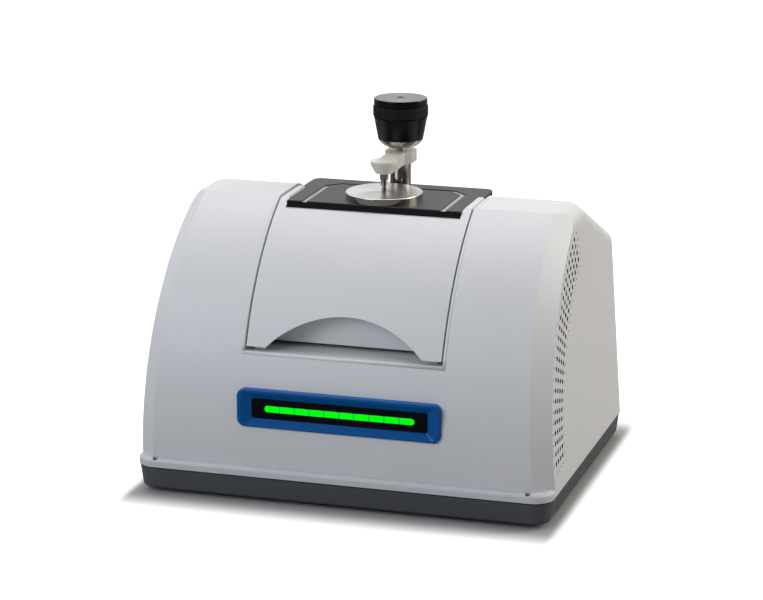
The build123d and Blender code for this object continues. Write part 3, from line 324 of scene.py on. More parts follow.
# Seam between two lit segments: the same light, far weaker and bluer
LIGHT_SEAM = Finish(
    "dim_teal_acrylic", "#02201C", Surface.SMOOTH, 0.3, emission="#0A8A6E", mottle=0.0, specular=0.1
)
# Moulded rubber of feet and grip band: soft black with hardly a highlight
RUBBER = Finish(
    "moulded_rubber_black", "#161617", Surface.MOULDED, 0.7, grain_mm=0.9, relief_mm=0.03, specular=0.25
)
# Black engineering plastic of sockets, clamps and fan: dull, lightly grained
BLACK_PLASTIC = Finish(
    "moulded_pbt_black", "#1A1B1D", Surface.MOULDED, 0.5, grain_mm=0.9, relief_mm=0.02, specular=0.3
)
# Hard-anodised aluminium plate: charcoal, satin, a fine grain left by the blasting before the dye
PLATE_TOP = Finish(
    "hard_anodised_plate", "#29262B", Surface.CAST, 0.42, metallic=0.1, specular=0.28,
    grain_mm=0.8, relief_mm=0.02, mottle=0.08,
)
# Standing faces of the same plate: smoother, and darker as painted shade
PLATE_EDGE_SHADE = Finish(
    "hard_anodised_edge_painted_shade", "#141316", Surface.SMOOTH, 0.3, metallic=0.2, mottle=0.02, specular=0.3
)
# Floor of the plate's groove: pale, a painted reflection, with fine brushing
GROOVE_REFLECTION = Finish(
    "groove_painted_reflection", "#A9A6A6", Surface.BRUSHED, 0.4, metallic=0.6, grain_mm=0.6, relief_mm=0.004
)
# Turned and polished stainless steel puck: bright fans from its rings
PUCK_STEEL = Finish(
    "turned_stainless_puck", "#C9CACC", Surface.TURNED, 0.3, metallic=1.0,
    grain_mm=0.9, relief_mm=0.001, anisotropic=0.75, lathe_centre=PUCK_AXIS,
)
# Ground stainless steel of column, screw and puck's side: a sharp upright streak of light
COLUMN_STEEL = Finish(
    "ground_stainless_column", "#A69D93", Surface.BRUSHED, 0.16, metallic=1.0,
    grain_mm=0.8, relief_mm=0.001, lathe_centre=KNOB_AXIS,
)
# Turned stainless steel of tip and holder: darker, with rings from the lathe
TIP_STEEL = Finish(
    "turned_stainless_tip", "#93867C", Surface.TURNED, 0.28, metallic=1.0,
    grain_mm=0.6, relief_mm=0.004, lathe_centre=PUCK_AXIS,
)
# Painted zinc casting of the arm: warm silver, satin
ARM_SILVER = Finish(
    "painted_zinc_arm", "#DEDBD4", Surface.MOULDED, 0.38, metallic=0.3, grain_mm=0.9, relief_mm=0.01
)
# Turned and nickelled dome: bright, its highlights drawn out by the turning
DOME_CHROME = Finish(
    "turned_nickel_dome", "#C4BCB1", Surface.TURNED, 0.22, metallic=1.0, mottle=0.02,
    grain_mm=0.7, relief_mm=0.001, anisotropic=0.5, lathe_centre=KNOB_AXIS,
)
# Polished black anodised cup: deep black with small clean highlights
KNOB_BLACK = Finish(
    "anodised_knob_black", "#070708", Surface.SMOOTH, 0.18, specular=0.22, lathe_centre=KNOB_AXIS
)
# Anodised cap, faced on the lathe: grey, with a fan of light that turns round its centre
KNOB_TOP = Finish(
    "anodised_knob_top", "#7C7773", Surface.TURNED, 0.36, metallic=0.6,
    grain_mm=0.8, relief_mm=0.001, anisotropic=0.6, lathe_centre=KNOB_AXIS,
)
# Cast aluminium of bench and blocks: coarse grey grain
CAST_ALUMINIUM = Finish(
    "cast_aluminium", "#9FA1A2", Surface.CAST, 0.5, metallic=1.0, grain_mm=2.2, relief_mm=0.05
)
# Zinc-plated sheet of rear panel and sockets: even grey, finely brushed
ZINC_PLATE = Finish(
    "zinc_plated_sheet", "#B7B9B6", Surface.BRUSHED, 0.35, metallic=1.0, grain_mm=0.7, relief_mm=0.004
)
# Gold coat of the optics' mirrors: a clear warm reflection
MIRROR_COAT = Finish("gold_coated_mirror", "#E8CF9A", Surface.SMOOTH, 0.04, metallic=1.0, mottle=0.0)
# Polished windows and beamsplitter: almost wholly clear
CLEAR_OPTIC = Finish("clear_optic", "#EAF2F4", Surface.SMOOTH, 0.03, ior=1.53, transmission=0.9, mottle=0.0)
# Diamond set in the puck: clear, with strong sharp reflections
CRYSTAL = Finish(
    "diamond_crystal_clear", "#E9EEF0", Surface.SMOOTH, 0.02, ior=2.4, transmission=0.6, mottle=0.0
)
# Turned brass tube of the reference laser: warm, softly ringed
BRASS = Finish("turned_brass", "#B8964F", Surface.TURNED, 0.3, metallic=1.0, grain_mm=0.8, relief_mm=0.004)
# Fired ceramic: matt cream, slightly gritty
CERAMIC = Finish("fired_ceramic", "#DDD3C2", Surface.CAST, 0.6, grain_mm=0.7, relief_mm=0.02)
# Solder mask of the boards: dark green with a smooth sheen
SOLDER_MASK = Finish("board_solder_mask", "#0F4A28", Surface.SMOOTH, 0.35, mottle=0.08)
# Nickelled screw heads: mid grey, softly bright
SCREW_STEEL = Finish(
    "nickel_screw_steel", "#8B8D90", Surface.TURNED, 0.35, metallic=1.0, grain_mm=0.5, relief_mm=0.004
)
# Gold flash on spring contacts: small yellow glints
CONTACT_GOLD = Finish("gold_contacts", "#D9B25A", Surface.SMOOTH, 0.2, metallic=1.0, mottle=0.0)


def rib_tree(name: str) -> bpy.types.NodeTree:
    """Geometry tree that stands ribs in a ring, each turned to face outwards.

    Args:
        name: Name of the tree.

    Returns:
        A tree with named inputs for count, radius, centre and the rib's three sizes.
    """
    tree = bpy.data.node_groups.new(name, "GeometryNodeTree")
    face = tree.interface
    face.new_socket("Geometry", in_out="OUTPUT", socket_type="NodeSocketGeometry")
    face.new_socket("Count", in_out="INPUT", socket_type="NodeSocketInt")
    face.new_socket("Radius", in_out="INPUT", socket_type="NodeSocketFloat")
    face.new_socket("Centre", in_out="INPUT", socket_type="NodeSocketVector")
    face.new_socket("Rib Size", in_out="INPUT", socket_type="NodeSocketVector")
    face.new_socket("Material", in_out="INPUT", socket_type="NodeSocketMaterial")
    given = add_node(tree, "NodeGroupInput").outputs
    ring = add_node(tree, "GeometryNodeMeshCircle", {"Vertices": given["Count"], "Radius": given["Radius"]})
    rib = add_node(tree, "GeometryNodeMeshCube", {"Size": given["Rib Size"]})
    where = add_node(tree, "GeometryNodeInputPosition")
    turned = add_node(tree, "FunctionNodeAlignRotationToVector", {"Vector": where.outputs[0]}, axis="X")
    stood = add_node(
        tree,
        "GeometryNodeInstanceOnPoints",
        {"Points": ring.outputs[0], "Instance": rib.outputs[0], "Rotation": turned.outputs[0]},
    )
    placed = add_node(
        tree, "GeometryNodeTransform", {"Geometry": stood.outputs[0], "Translation": given["Centre"]}
    )
    solid = add_node(tree, "GeometryNodeRealizeInstances", {"Geometry": placed.outputs[0]})
    painted = add_node(
        tree, "GeometryNodeSetMaterial", {"Geometry": solid.outputs[0], "Material": given["Material"]}
    )
    add_node(tree, "NodeGroupOutput", {"Geometry": painted.outputs[0]})
    return tree


def row_tree(name: str) -> bpy.types.NodeTree:
    """Geometry tree that repeats a block along a line.

    Args:
        name: Name of the tree.

    Returns:
        A tree with named inputs for count, start, step and the block's size.
    """
    tree = bpy.data.node_groups.new(name, "GeometryNodeTree")
    face = tree.interface
    face.new_socket("Geometry", in_out="OUTPUT", socket_type="NodeSocketGeometry")
    face.new_socket("Count", in_out="INPUT", socket_type="NodeSocketInt")
    face.new_socket("Start", in_out="INPUT", socket_type="NodeSocketVector")
    face.new_socket("Step", in_out="INPUT", socket_type="NodeSocketVector")
    face.new_socket("Block Size", in_out="INPUT", socket_type="NodeSocketVector")
    face.new_socket("Material", in_out="INPUT", socket_type="NodeSocketMaterial")
    given = add_node(tree, "NodeGroupInput").outputs
    line = add_node(
        tree,
        "GeometryNodeMeshLine",
        {"Count": given["Count"], "Start Location": given["Start"], "Offset": given["Step"]},
    )
    block = add_node(tree, "GeometryNodeMeshCube", {"Size": given["Block Size"]})
    stood = add_node(
        tree, "GeometryNodeInstanceOnPoints", {"Points": line.outputs[0], "Instance": block.outputs[0]}
    )
    solid = add_node(tree, "GeometryNodeRealizeInstances", {"Geometry": stood.outputs[0]})
    painted = add_node(
        tree, "GeometryNodeSetMaterial", {"Geometry": solid.outputs[0], "Material": given["Material"]}
    )
    add_node(tree, "NodeGroupOutput", {"Geometry": painted.outputs[0]})
    return tree


def grow(name: str, tree: bpy.types.NodeTree, values: dict, bevel: float = 0.0) -> bpy.types.Object:
    """Run a geometry tree once and keep its result as a plain mesh.

    Args:
        name: Name of the new piece.
        tree: Geometry tree to run.
        values: Input name to value.
        bevel: Width of a small bevel on the result's edges, or nothing.

    Returns:
        The finished object, with no modifier left on it.
    """
    seed = bpy.data.objects.new(name + "_seed", bpy.data.meshes.new(name + "_seed"))
    bpy.context.scene.collection.objects.link(seed)
    maker = seed.modifiers.new("grow", "NODES")
    maker.node_group = tree
    for item in tree.interface.items_tree:
        if item.in_out == "INPUT" and item.name in values:
            maker[item.identifier] = values[item.name]
    if bevel:
        edge = seed.modifiers.new("edge", "BEVEL")
        edge.width = bevel
        edge.segments = 1
    ready = seed.evaluated_get(bpy.context.evaluated_depsgraph_get())
    mesh = bpy.data.meshes.new_from_object(ready)
    bpy.data.objects.remove(seed)
    piece = bpy.data.objects.new(name, mesh)
    bpy.context.scene.collection.objects.link(piece)
    return piece


def repaint(piece: bpy.types.Object, finish: Finish, chosen: Callable[[Vector, Vector], bool]) -> None:
    """Give some faces of a piece a second finish.

    Args:
        piece: Piece to repaint.
        finish: Finish for the chosen faces.
        chosen: Tells from a face's centre and normal whether it is one of them.
    """
    piece.data.materials.append(finish.material())
    last = len(piece.data.materials) - 1
    for face in piece.data.polygons:
        if chosen(face.center, face.normal):
            face.material_index = last


def prism(name: str, outline: list[tuple[float, float]], front: float, depth: float) -> bpy.types.Object:
    """Make a prism that stands upright across the front of the object.

    Args:
        name: Name of the piece.
        outline: Corners as X and Z, anticlockwise seen from the front.
        front: Y of its front face.
        depth: Length towards the back.

    Returns:
        The new object, at the origin, with its place in its mesh.
    """
    count = len(outline)
    corners = [(x, front, z) for x, z in outline] + [(x, front + depth, z) for x, z in outline]
    faces = [tuple(range(count)), tuple(range(2 * count - 1, count - 1, -1))]
    faces += [(i, i + count, (i + 1) % count + count, (i + 1) % count) for i in range(count)]
    mesh = bpy.data.meshes.new(name)
    mesh.from_pydata(corners, [], faces)
    piece = bpy.data.objects.new(name, mesh)
    bpy.context.scene.collection.objects.link(piece)
    return piece


def finished(name: str, shape: bmesh.types.BMesh, finish: Finish, smooth: bool = False) -> bpy.types.Object:
    """Turn a shape that was made corner by corner into a piece.

    Args:
        name: Name of the piece.
        shape: The shape, which is freed.
        finish: Finish of the piece.
        smooth: Whether light runs smoothly over its edges.

    Returns:
        The new object, at the origin, with its place in its mesh.
    """
    mesh = bpy.data.meshes.new(name)
    shape.to_mesh(mesh)
    shape.free()
    for face in mesh.polygons:
        face.use_smooth = smooth
    mesh.materials.append(finish.material())
    piece = bpy.data.objects.new(name, mesh)
    bpy.context.scene.collection.objects.link(piece)
    return piece


@dataclass
class SubAssembly:
    """Carried-over nodes that share one look, with the finish of each."""

    frame: dict
    finishes: dict[str, Finish] = field(default_factory=dict)

    def dress(self) -> None:
        """Give each node its finish."""
        for node, finish in self.finishes.items():
            target = self.frame["nodes"][node]
            target.data.materials.clear()
            target.data.materials.append(finish.material())
            LOG.info("%s dressed as %s", node, finish.name)

    def build(self) -> None:
        """Dress the nodes; sub-assemblies with pieces of their own add them here."""
        self.dress()


@dataclass
class Housing(SubAssembly):
    """Cover, base, trim and what stands under them."""

    finishes: dict[str, Finish] = field(
        default_factory=lambda: {
            "main_cover": COVER_WHITE,
            "base_tray": BASE_DARK,
            "rubber_feet": RUBBER,
            "front_skirt": TRIM_GREY,
            "skirt_screws": SCREW_STEEL,
            "bay_liner": LINER_GREY,
            "bay_window_frames": CAST_ALUMINIUM,
            "bay_windows": CLEAR_OPTIC,
        }
    )
    # Each dark block of painted shade in a screw's cross slot: length, width and height
    slot_length_mm: float = 3.0
    slot_width_mm: float = 0.7
    slot_height_mm: float = 0.12
    bay_half_mm: float = 83.0
    liner_wall_mm: float = 2.5
    rim_steps: int = 40
    rim_reach_mm: float = 2.6
    rim_middle_mm: float = 1.5
    # Each corner of the rim's section: how far it lies from the opening, and how proud it stands
    rim_section_mm: tuple[tuple[float, float], ...] = (
        (0.2, -0.1),
        (0.2, 0.22),
        (0.7, 0.4),
        (1.5, 0.42),
        (2.3, 0.25),
        (2.8, -0.1),
    )
    # Where the rays towards the front's axis start, clear of the cover
    ray_start: float = 0.3
    paint_centre_drop: float = 0.05
    # Bounds that hold the walls of the vent holes and nothing else, where the painted shade goes
    vent_rear_mm: float = 20.0
    vent_low_mm: float = 35.0
    vent_high_mm: float = 215.0
    vent_radius_mm: float = 192.0
    vent_side_share: float = 0.8
    vent_wall_tilt: float = 0.3

    def build(self) -> None:
        """Dress the housing, paint the cover's inside with shield paint and its vent walls with painted
        shade, roll the bay's rim and lay painted shade in the small screws' slots.
        """
        self.dress()
        self._shield_and_vent_shade()
        self._bay_rim()
        self._slot_shade_on_screws()

    def _slot_shade_on_screws(self) -> None:
        """Lay a dark cross over each of the two small screws: painted shade for its cross slot."""
        low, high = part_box("skirt_screws")
        head_x = high[0] - (high[1] - low[1]) / 2
        middle_y = (low[1] + high[1]) / 2
        tree = row_tree("screw_slot_shade")
        long, short, tall = (v * MM for v in (self.slot_length_mm, self.slot_width_mm, self.slot_height_mm))
        for way, size in (("across", (long, short, tall)), ("along", (short, long, tall))):
            # Painted shade: each arm of the cross is a thin black block on the head
            slots = grow(
                "skirt_screw_slot_shade_" + way,
                tree,
                {
                    "Count": 2,
                    "Start": (-head_x, middle_y, high[2]),
                    "Step": (2 * head_x, 0.0, 0.0),
                    "Block Size": size,
                    "Material": BLACK_PLASTIC.material(),
                },
            )
            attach(slots, "housing")
            LOG.info("%s added", slots.name)

    def _shield_and_vent_shade(self) -> None:
        """Dark conductive paint on the cover's inner skin, and the same dark colour on the walls of its vent
        holes as painted shade.
        """
        low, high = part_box("bay_liner")
        middle = Vector((0.0, 0.0, (low[2] + high[2]) / 2 - self.paint_centre_drop))
        side = self.vent_side_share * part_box("main_cover")[1][0]

        def inner_skin(centre: Vector, normal: Vector) -> bool:
            """Tell whether a face looks inwards and isn't on the bay's rim."""
            on_rim = low[0] - MM < centre.x < high[0] + MM and centre.z > low[2] - MM
            return normal.dot(centre - middle) < 0 and not on_rim

        def vent_wall(centre: Vector, normal: Vector) -> bool:
            """Tell whether a face is on the wall of a vent hole, which gets painted shade."""
            return (
                abs(normal.x) < self.vent_wall_tilt
                and abs(centre.x) > side
                and centre.y < self.vent_rear_mm * MM
                and self.vent_low_mm * MM < centre.z < self.vent_high_mm * MM
                and (centre.yz - Vector(FASCIA_AXIS)).length < self.vent_radius_mm * MM
            )

        # The inner skin gets the shield paint; the vent walls get the same colour as painted shade
        for chosen in (inner_skin, vent_wall):
            repaint(self.frame["nodes"]["main_cover"], SHIELD_PAINT_AND_VENT_SHADE, chosen)

    def _surface(self, across: float, angle: float) -> tuple[Vector, Vector]:
        """Find the cover's surface along a ray towards the front's axis.

        Args:
            across: X of the ray.
            angle: Angle of the ray above the way to the back.

        Returns:
            The point that is met and the normal there.
        """
        ray = Vector((0.0, math.cos(angle), math.sin(angle)))
        origin = Vector((across, *FASCIA_AXIS)) + self.ray_start * ray
        _, point, normal, _ = self.frame["nodes"]["main_cover"].ray_cast(origin, -ray)
        return point, normal

    def _sweep(self, shape: bmesh.types.BMesh, places: list[tuple[Vector, Vector, Vector]]) -> None:
        """Skin the rim's section along a line.

        Args:
            shape: Shape that receives the skin.
            places: Points of the opening's edge, each with its sideways and outward directions.
        """
        hoops = [
            [shape.verts.new(at + (aside * o + out * h) * MM) for o, h in self.rim_section_mm]
            for at, aside, out in places
        ]
        for one, two in zip(hoops, hoops[1:]):
            for i in range(len(one)):
                j = (i + 1) % len(one)
                shape.faces.new((one[i], one[j], two[j], two[i]))
        shape.faces.new(hoops[0])
        shape.faces.new(reversed(hoops[-1]))

    def _bay_rim(self) -> None:
        """Rolled lip along the bay's opening, laid on the cover's own curve."""
        bpy.context.view_layer.update()
        low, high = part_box("bay_liner")
        floor, top = low[2] + self.liner_wall_mm * MM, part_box("main_cover")[1][2]
        edge, middle = self.bay_half_mm * MM, self.rim_middle_mm * MM
        start = math.pi - math.asin((floor - FASCIA_AXIS[1]) / FASCIA_RADIUS)
        end = math.pi / 2 + math.atan2(FASCIA_AXIS[0] - high[1], top - FASCIA_AXIS[1])
        shape = bmesh.new()
        for side in (-1, 1):
            places = []
            for step in range(self.rim_steps + 1):
                angle = start + (end - start) * step / self.rim_steps
                point, normal = self._surface(side * (edge + middle), angle)
                places.append((Vector((side * edge, point.y, point.z)), Vector((side, 0.0, 0.0)), normal))
            self._sweep(shape, places)
        point, normal = self._surface(0.0, start + middle / FASCIA_RADIUS)
        down = Vector((0.0, normal.z, -normal.y))
        down = down if down.z < 0 else -down
        corner = point - down * middle
        ends = edge + self.rim_reach_mm * MM
        self._sweep(shape, [(Vector((x, corner.y, corner.z)), down, normal) for x in (-ends, ends)])
        bmesh.ops.recalc_face_normals(shape, faces=shape.faces)
        lip = finished("bay_rim_lip", shape, COVER_WHITE, smooth=True)
        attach(lip, "housing")
        LOG.info("%s added", lip.name)


@dataclass
class StatusLight(SubAssembly):
    """Blue bezel, smoked window and the lit band."""

    finishes: dict[str, Finish] = field(
        default_factory=lambda: {
            "light_bezel": BEZEL_BLUE,
            "light_window": WINDOW_BLACK,
            "light_pipes": LIGHT_GREEN,
            "light_board": SOLDER_MASK,
        }
    )
    segments: int = 10
    seam_mm: float = 0.75
    proud_mm: float = 0.08
    end_steps: int = 10

    def build(self) -> None:
        """Dress the light and lay its band of ten segments over the pipes."""
        self.dress()
        low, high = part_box("light_pipes")
        radius = (high[2] - low[2]) / 2
        middle = (low[2] + high[2]) / 2
        proud = self.proud_mm * MM
        front = low[1] - proud
        arc = [math.radians(90 + 180 * i / self.end_steps) for i in range(self.end_steps + 1)]
        left = [(low[0] + radius * (1 + math.cos(a)), middle + radius * math.sin(a)) for a in arc]
        right = [(-x, 2 * middle - z) for x, z in left]
        seam = prism("light_band_seams", left + right, front, proud)
        seam.data.materials.append(LIGHT_SEAM.material())
        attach(seam, "housing")
        LOG.info("%s added", seam.name)
        pitch = (high[0] - low[0]) / self.segments
        gap = self.seam_mm * MM / 2
        for number in range(self.segments):
            start, end = low[0] + number * pitch + gap, low[0] + (number + 1) * pitch - gap
            square_left = [(start, middle + radius), (start, middle - radius)]
            square_right = [(end, middle - radius), (end, middle + radius)]
            first, last = number == 0, number == self.segments - 1
            outline = (left if first else square_left) + (right if last else square_right)
            lit = prism(f"light_segment_{number + 1}", outline, front - proud / 4, proud)
            lit.data.materials.append(LIGHT_GREEN.material())
            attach(lit, "housing")
            LOG.info("%s added", lit.name)


@dataclass
class Accessory(SubAssembly):
    """Slide-out accessory: shell, plate, puck and the optics under them."""

    finishes: dict[str, Finish] = field(
        default_factory=lambda: {
            "accessory_shell": COVER_WHITE,
            "accessory_base": CAST_ALUMINIUM,
            "transfer_block": CAST_ALUMINIUM,
            "transfer_mirrors": MIRROR_COAT,
            "top_plate": PLATE_TOP,
            "crystal_puck": PUCK_STEEL,
            "diamond_crystal": CRYSTAL,
        }
    )
    groove_depth_mm: float = 0.8
    groove_slack_mm: float = 0.1

    def build(self) -> None:
        """Dress the accessory; the plate has painted shade on its edges and a painted reflection in its
        groove, and the puck a ground side.
        """
        self.dress()
        plate = self.frame["nodes"]["top_plate"]
        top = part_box("top_plate")[1][2]
        floor, slack = top - self.groove_depth_mm * MM, self.groove_slack_mm * MM

        def groove_floor(centre: Vector, normal: Vector) -> bool:
            """Tell whether a face is on the floor of the plate's groove, which gets a painted reflection."""
            return normal.z > FLAT and abs(centre.z - floor) < slack

        # Painted shade: the plate's standing faces below the groove get the darker finish
        repaint(plate, PLATE_EDGE_SHADE, lambda centre, normal: abs(normal.z) < STANDING and centre.z < floor)
        # Painted reflection: the groove's floor gets the pale finish
        repaint(plate, GROOVE_REFLECTION, groove_floor)
        puck = self.frame["nodes"]["crystal_puck"]
        repaint(puck, COLUMN_STEEL, lambda centre, normal: abs(normal.z) < STANDING)


@dataclass
class PressureTower(SubAssembly):
    """Column, arm, tip and knob."""

    finishes: dict[str, Finish] = field(
        default_factory=lambda: {
            "tower_column": COLUMN_STEEL,
            "lead_screw": COLUMN_STEEL,
            "pressure_arm": ARM_SILVER,
            "tip_holder": TIP_STEEL,
            "pressure_tip": TIP_STEEL,
            "knob_dome": DOME_CHROME,
            "knob_cup": KNOB_BLACK,
            "knob_band": RUBBER,
            "knob_cap": KNOB_TOP,
        }
    )
    screw_radius_mm: float = 4.1
    screw_proud_mm: float = 0.12
    screw_sides: int = 24
    # Edge break of the head: how far inwards, and how far down
    screw_break_mm: tuple[float, float] = (0.15, 0.05)
    socket_radius_mm: float = 2.3
    socket_floor_mm: float = 0.02
    socket_sides: int = 6
    rib_count: int = 72
    rib_width_mm: float = 0.9
    rib_height_mm: float = 0.35
    rib_margin_mm: float = 0.6
    rib_bevel_mm: float = 0.1

    def build(self) -> None:
        """Dress the tower, stand the grip ribs round the knob's rubber band and screw its cap down."""
        self.dress()
        cap = self.frame["nodes"]["knob_cap"]
        repaint(cap, KNOB_BLACK, lambda centre, normal: normal.z < FLAT)
        low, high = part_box("knob_band")
        radius = (high[0] - low[0]) / 2
        tall = (high[2] - low[2]) - 2 * self.rib_margin_mm * MM
        middle = (KNOB_AXIS[0], KNOB_AXIS[1], (low[2] + high[2]) / 2)
        ribs = grow(
            "knob_grip_ribs",
            rib_tree("grip_ribs"),
            {
                "Count": self.rib_count,
                "Radius": radius,
                "Centre": middle,
                "Rib Size": (self.rib_height_mm * MM, self.rib_width_mm * MM, tall),
                "Material": RUBBER.material(),
            },
            bevel=self.rib_bevel_mm * MM,
        )
        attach(ribs, "knob")
        LOG.info("%s added", ribs.name)
        self._cap_screw()

    def _cap_screw(self) -> None:
        """Flat head with a hexagon socket, which holds the cap on the knob's spindle."""
        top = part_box("knob_cap")[1][2]
        proud, sunk = top + self.screw_proud_mm * MM, top + self.socket_floor_mm * MM
        rim, socket = self.screw_radius_mm * MM, self.socket_radius_mm * MM
        inwards, down = (v * MM for v in self.screw_break_mm)
        rings = [
            (rim, sunk, self.screw_sides),
            (rim, proud - down, self.screw_sides),
            (rim - inwards, proud, self.screw_sides),
            (socket, proud, self.socket_sides),
            (socket, sunk, self.socket_sides),
        ]
        shape = bmesh.new()
        hoops = []
        for radius, height, sides in rings:
            hoop = []
            for i in range(sides):
                turn = 2 * math.pi * i / sides
                x, y = KNOB_AXIS[0] + radius * math.cos(turn), KNOB_AXIS[1] + radius * math.sin(turn)
                hoop.append(shape.verts.new((x, y, height)))
            hoops.append(hoop)
        for lower, upper in zip(hoops, hoops[1:]):
            step = len(lower) // len(upper)
            for i, corner in enumerate(upper):
                after = upper[(i + 1) % len(upper)]
                span = [lower[(i * step + k) % len(lower)] for k in range(step + 1)]
                shape.faces.new(span + [after, corner])
        shape.faces.new(hoops[-1])
        shape.faces.new(reversed(hoops[0]))
        screw = finished("knob_cap_screw", shape, KNOB_BLACK)
        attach(screw, "knob")
        LOG.info("%s added", screw.name)


@dataclass
class OpticalBench(SubAssembly):
    """Bench casting and the optics that it carries."""

    finishes: dict[str, Finish] = field(
        default_factory=lambda: {
            "optical_bench": CAST_ALUMINIUM,
            "bench_isolators": RUBBER,
            "interferometer_block": CAST_ALUMINIUM,
            "detector_block": CAST_ALUMINIUM,
            "beamsplitter_mount": BLACK_PLASTIC,
            "beamsplitter": CLEAR_OPTIC,
            "fixed_mirror_mount": BLACK_PLASTIC,
            "fixed_mirror": MIRROR_COAT,
            "detector_mirror_mount": BLACK_PLASTIC,
            "detector_mirror": MIRROR_COAT,
            "moving_mirror": MIRROR_COAT,
            "mirror_carriage": COLUMN_STEEL,
            "drive_coil": BLACK_PLASTIC,
            "source_housing": CAST_ALUMINIUM,
            "source_element": CERAMIC,
            "source_mirror": MIRROR_COAT,
            "laser_clamp": BLACK_PLASTIC,
            "reference_laser": BRASS,
            "laser_detector": BLACK_PLASTIC,
            "detector_module": ZINC_PLATE,
            "desiccant_cartridge": CERAMIC,
        }
    )


@dataclass
class Electronics(SubAssembly):
    """Boards, fan, and the ports at the rear."""

    finishes: dict[str, Finish] = field(
        default_factory=lambda: {
            "main_board": SOLDER_MASK,
            "power_board": SOLDER_MASK,
            "fan_frame": BLACK_PLASTIC,
            "fan_rotor": BLACK_PLASTIC,
            "rear_panel": ZINC_PLATE,
            "dc_inlet": BLACK_PLASTIC,
            "lan_port": ZINC_PLATE,
            "usb_ports": ZINC_PLATE,
            "switch_housing": BLACK_PLASTIC,
            "power_rocker": BLACK_PLASTIC,
        }
    )
    pin_count: int = 8
    pin_pitch_mm: float = 1.02
    pin_size_mm: tuple[float, float, float] = (0.4, 8.0, 0.3)
    pin_height_mm: float = 10.3

    def build(self) -> None:
        """Dress the parts and lay the spring contacts into the network socket."""
        self.dress()
        low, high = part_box("lan_port")
        middle_x = (low[0] + high[0]) / 2
        reach = (self.pin_count - 1) * self.pin_pitch_mm * MM
        size = tuple(v * MM for v in self.pin_size_mm)
        pins = grow(
            "network_socket_pins",
            row_tree("socket_pins"),
            {
                "Count": self.pin_count,
                "Start": (middle_x - reach / 2, high[1] - size[1], low[2] + self.pin_height_mm * MM),
                "Step": (self.pin_pitch_mm * MM, 0.0, 0.0),
                "Block Size": size,
                "Material": CONTACT_GOLD.material(),
            },
        )
        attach(pins, "housing")
        LOG.info("%s added", pins.name)


@dataclass(frozen=True)
class Softbox:
    """One square lamp: where it hangs, what it faces, its side, power in watts and colour."""

    name: str
    place: tuple[float, float, float]
    aim: tuple[float, float, float]
    side: float
    power: float
    tint: str

    def hang(self) -> None:
        """Add the lamp to the scene."""
        data = bpy.data.lights.new(self.name, "AREA")
        data.size = self.side
        data.energy = self.power
        data.color = linear(self.tint)[:3]
        lamp = bpy.data.objects.new(self.name, data)
        lamp.location = self.place
        lamp.rotation_euler = (Vector(self.aim) - Vector(self.place)).to_track_quat("-Z", "Y").to_euler()
        bpy.context.scene.collection.objects.link(lamp)


# Cool light from the front, warm light from the side, as in the photograph
LAMPS = (
    Softbox("top_softbox", (-0.25, 0.35, 1.8), (0.0, 0.0, 0.1), 1.5, 17.5, "#FFFDF9"),
    Softbox("front_softbox", (-1.3, -1.9, 1.3), (0.0, 0.0, 0.15), 1.3, 23.5, "#F0F4FF"),
    Softbox("side_softbox", (2.0, 0.9, 1.2), (0.0, 0.0, 0.2), 1.0, 29.0, "#FFF6EA"),
)


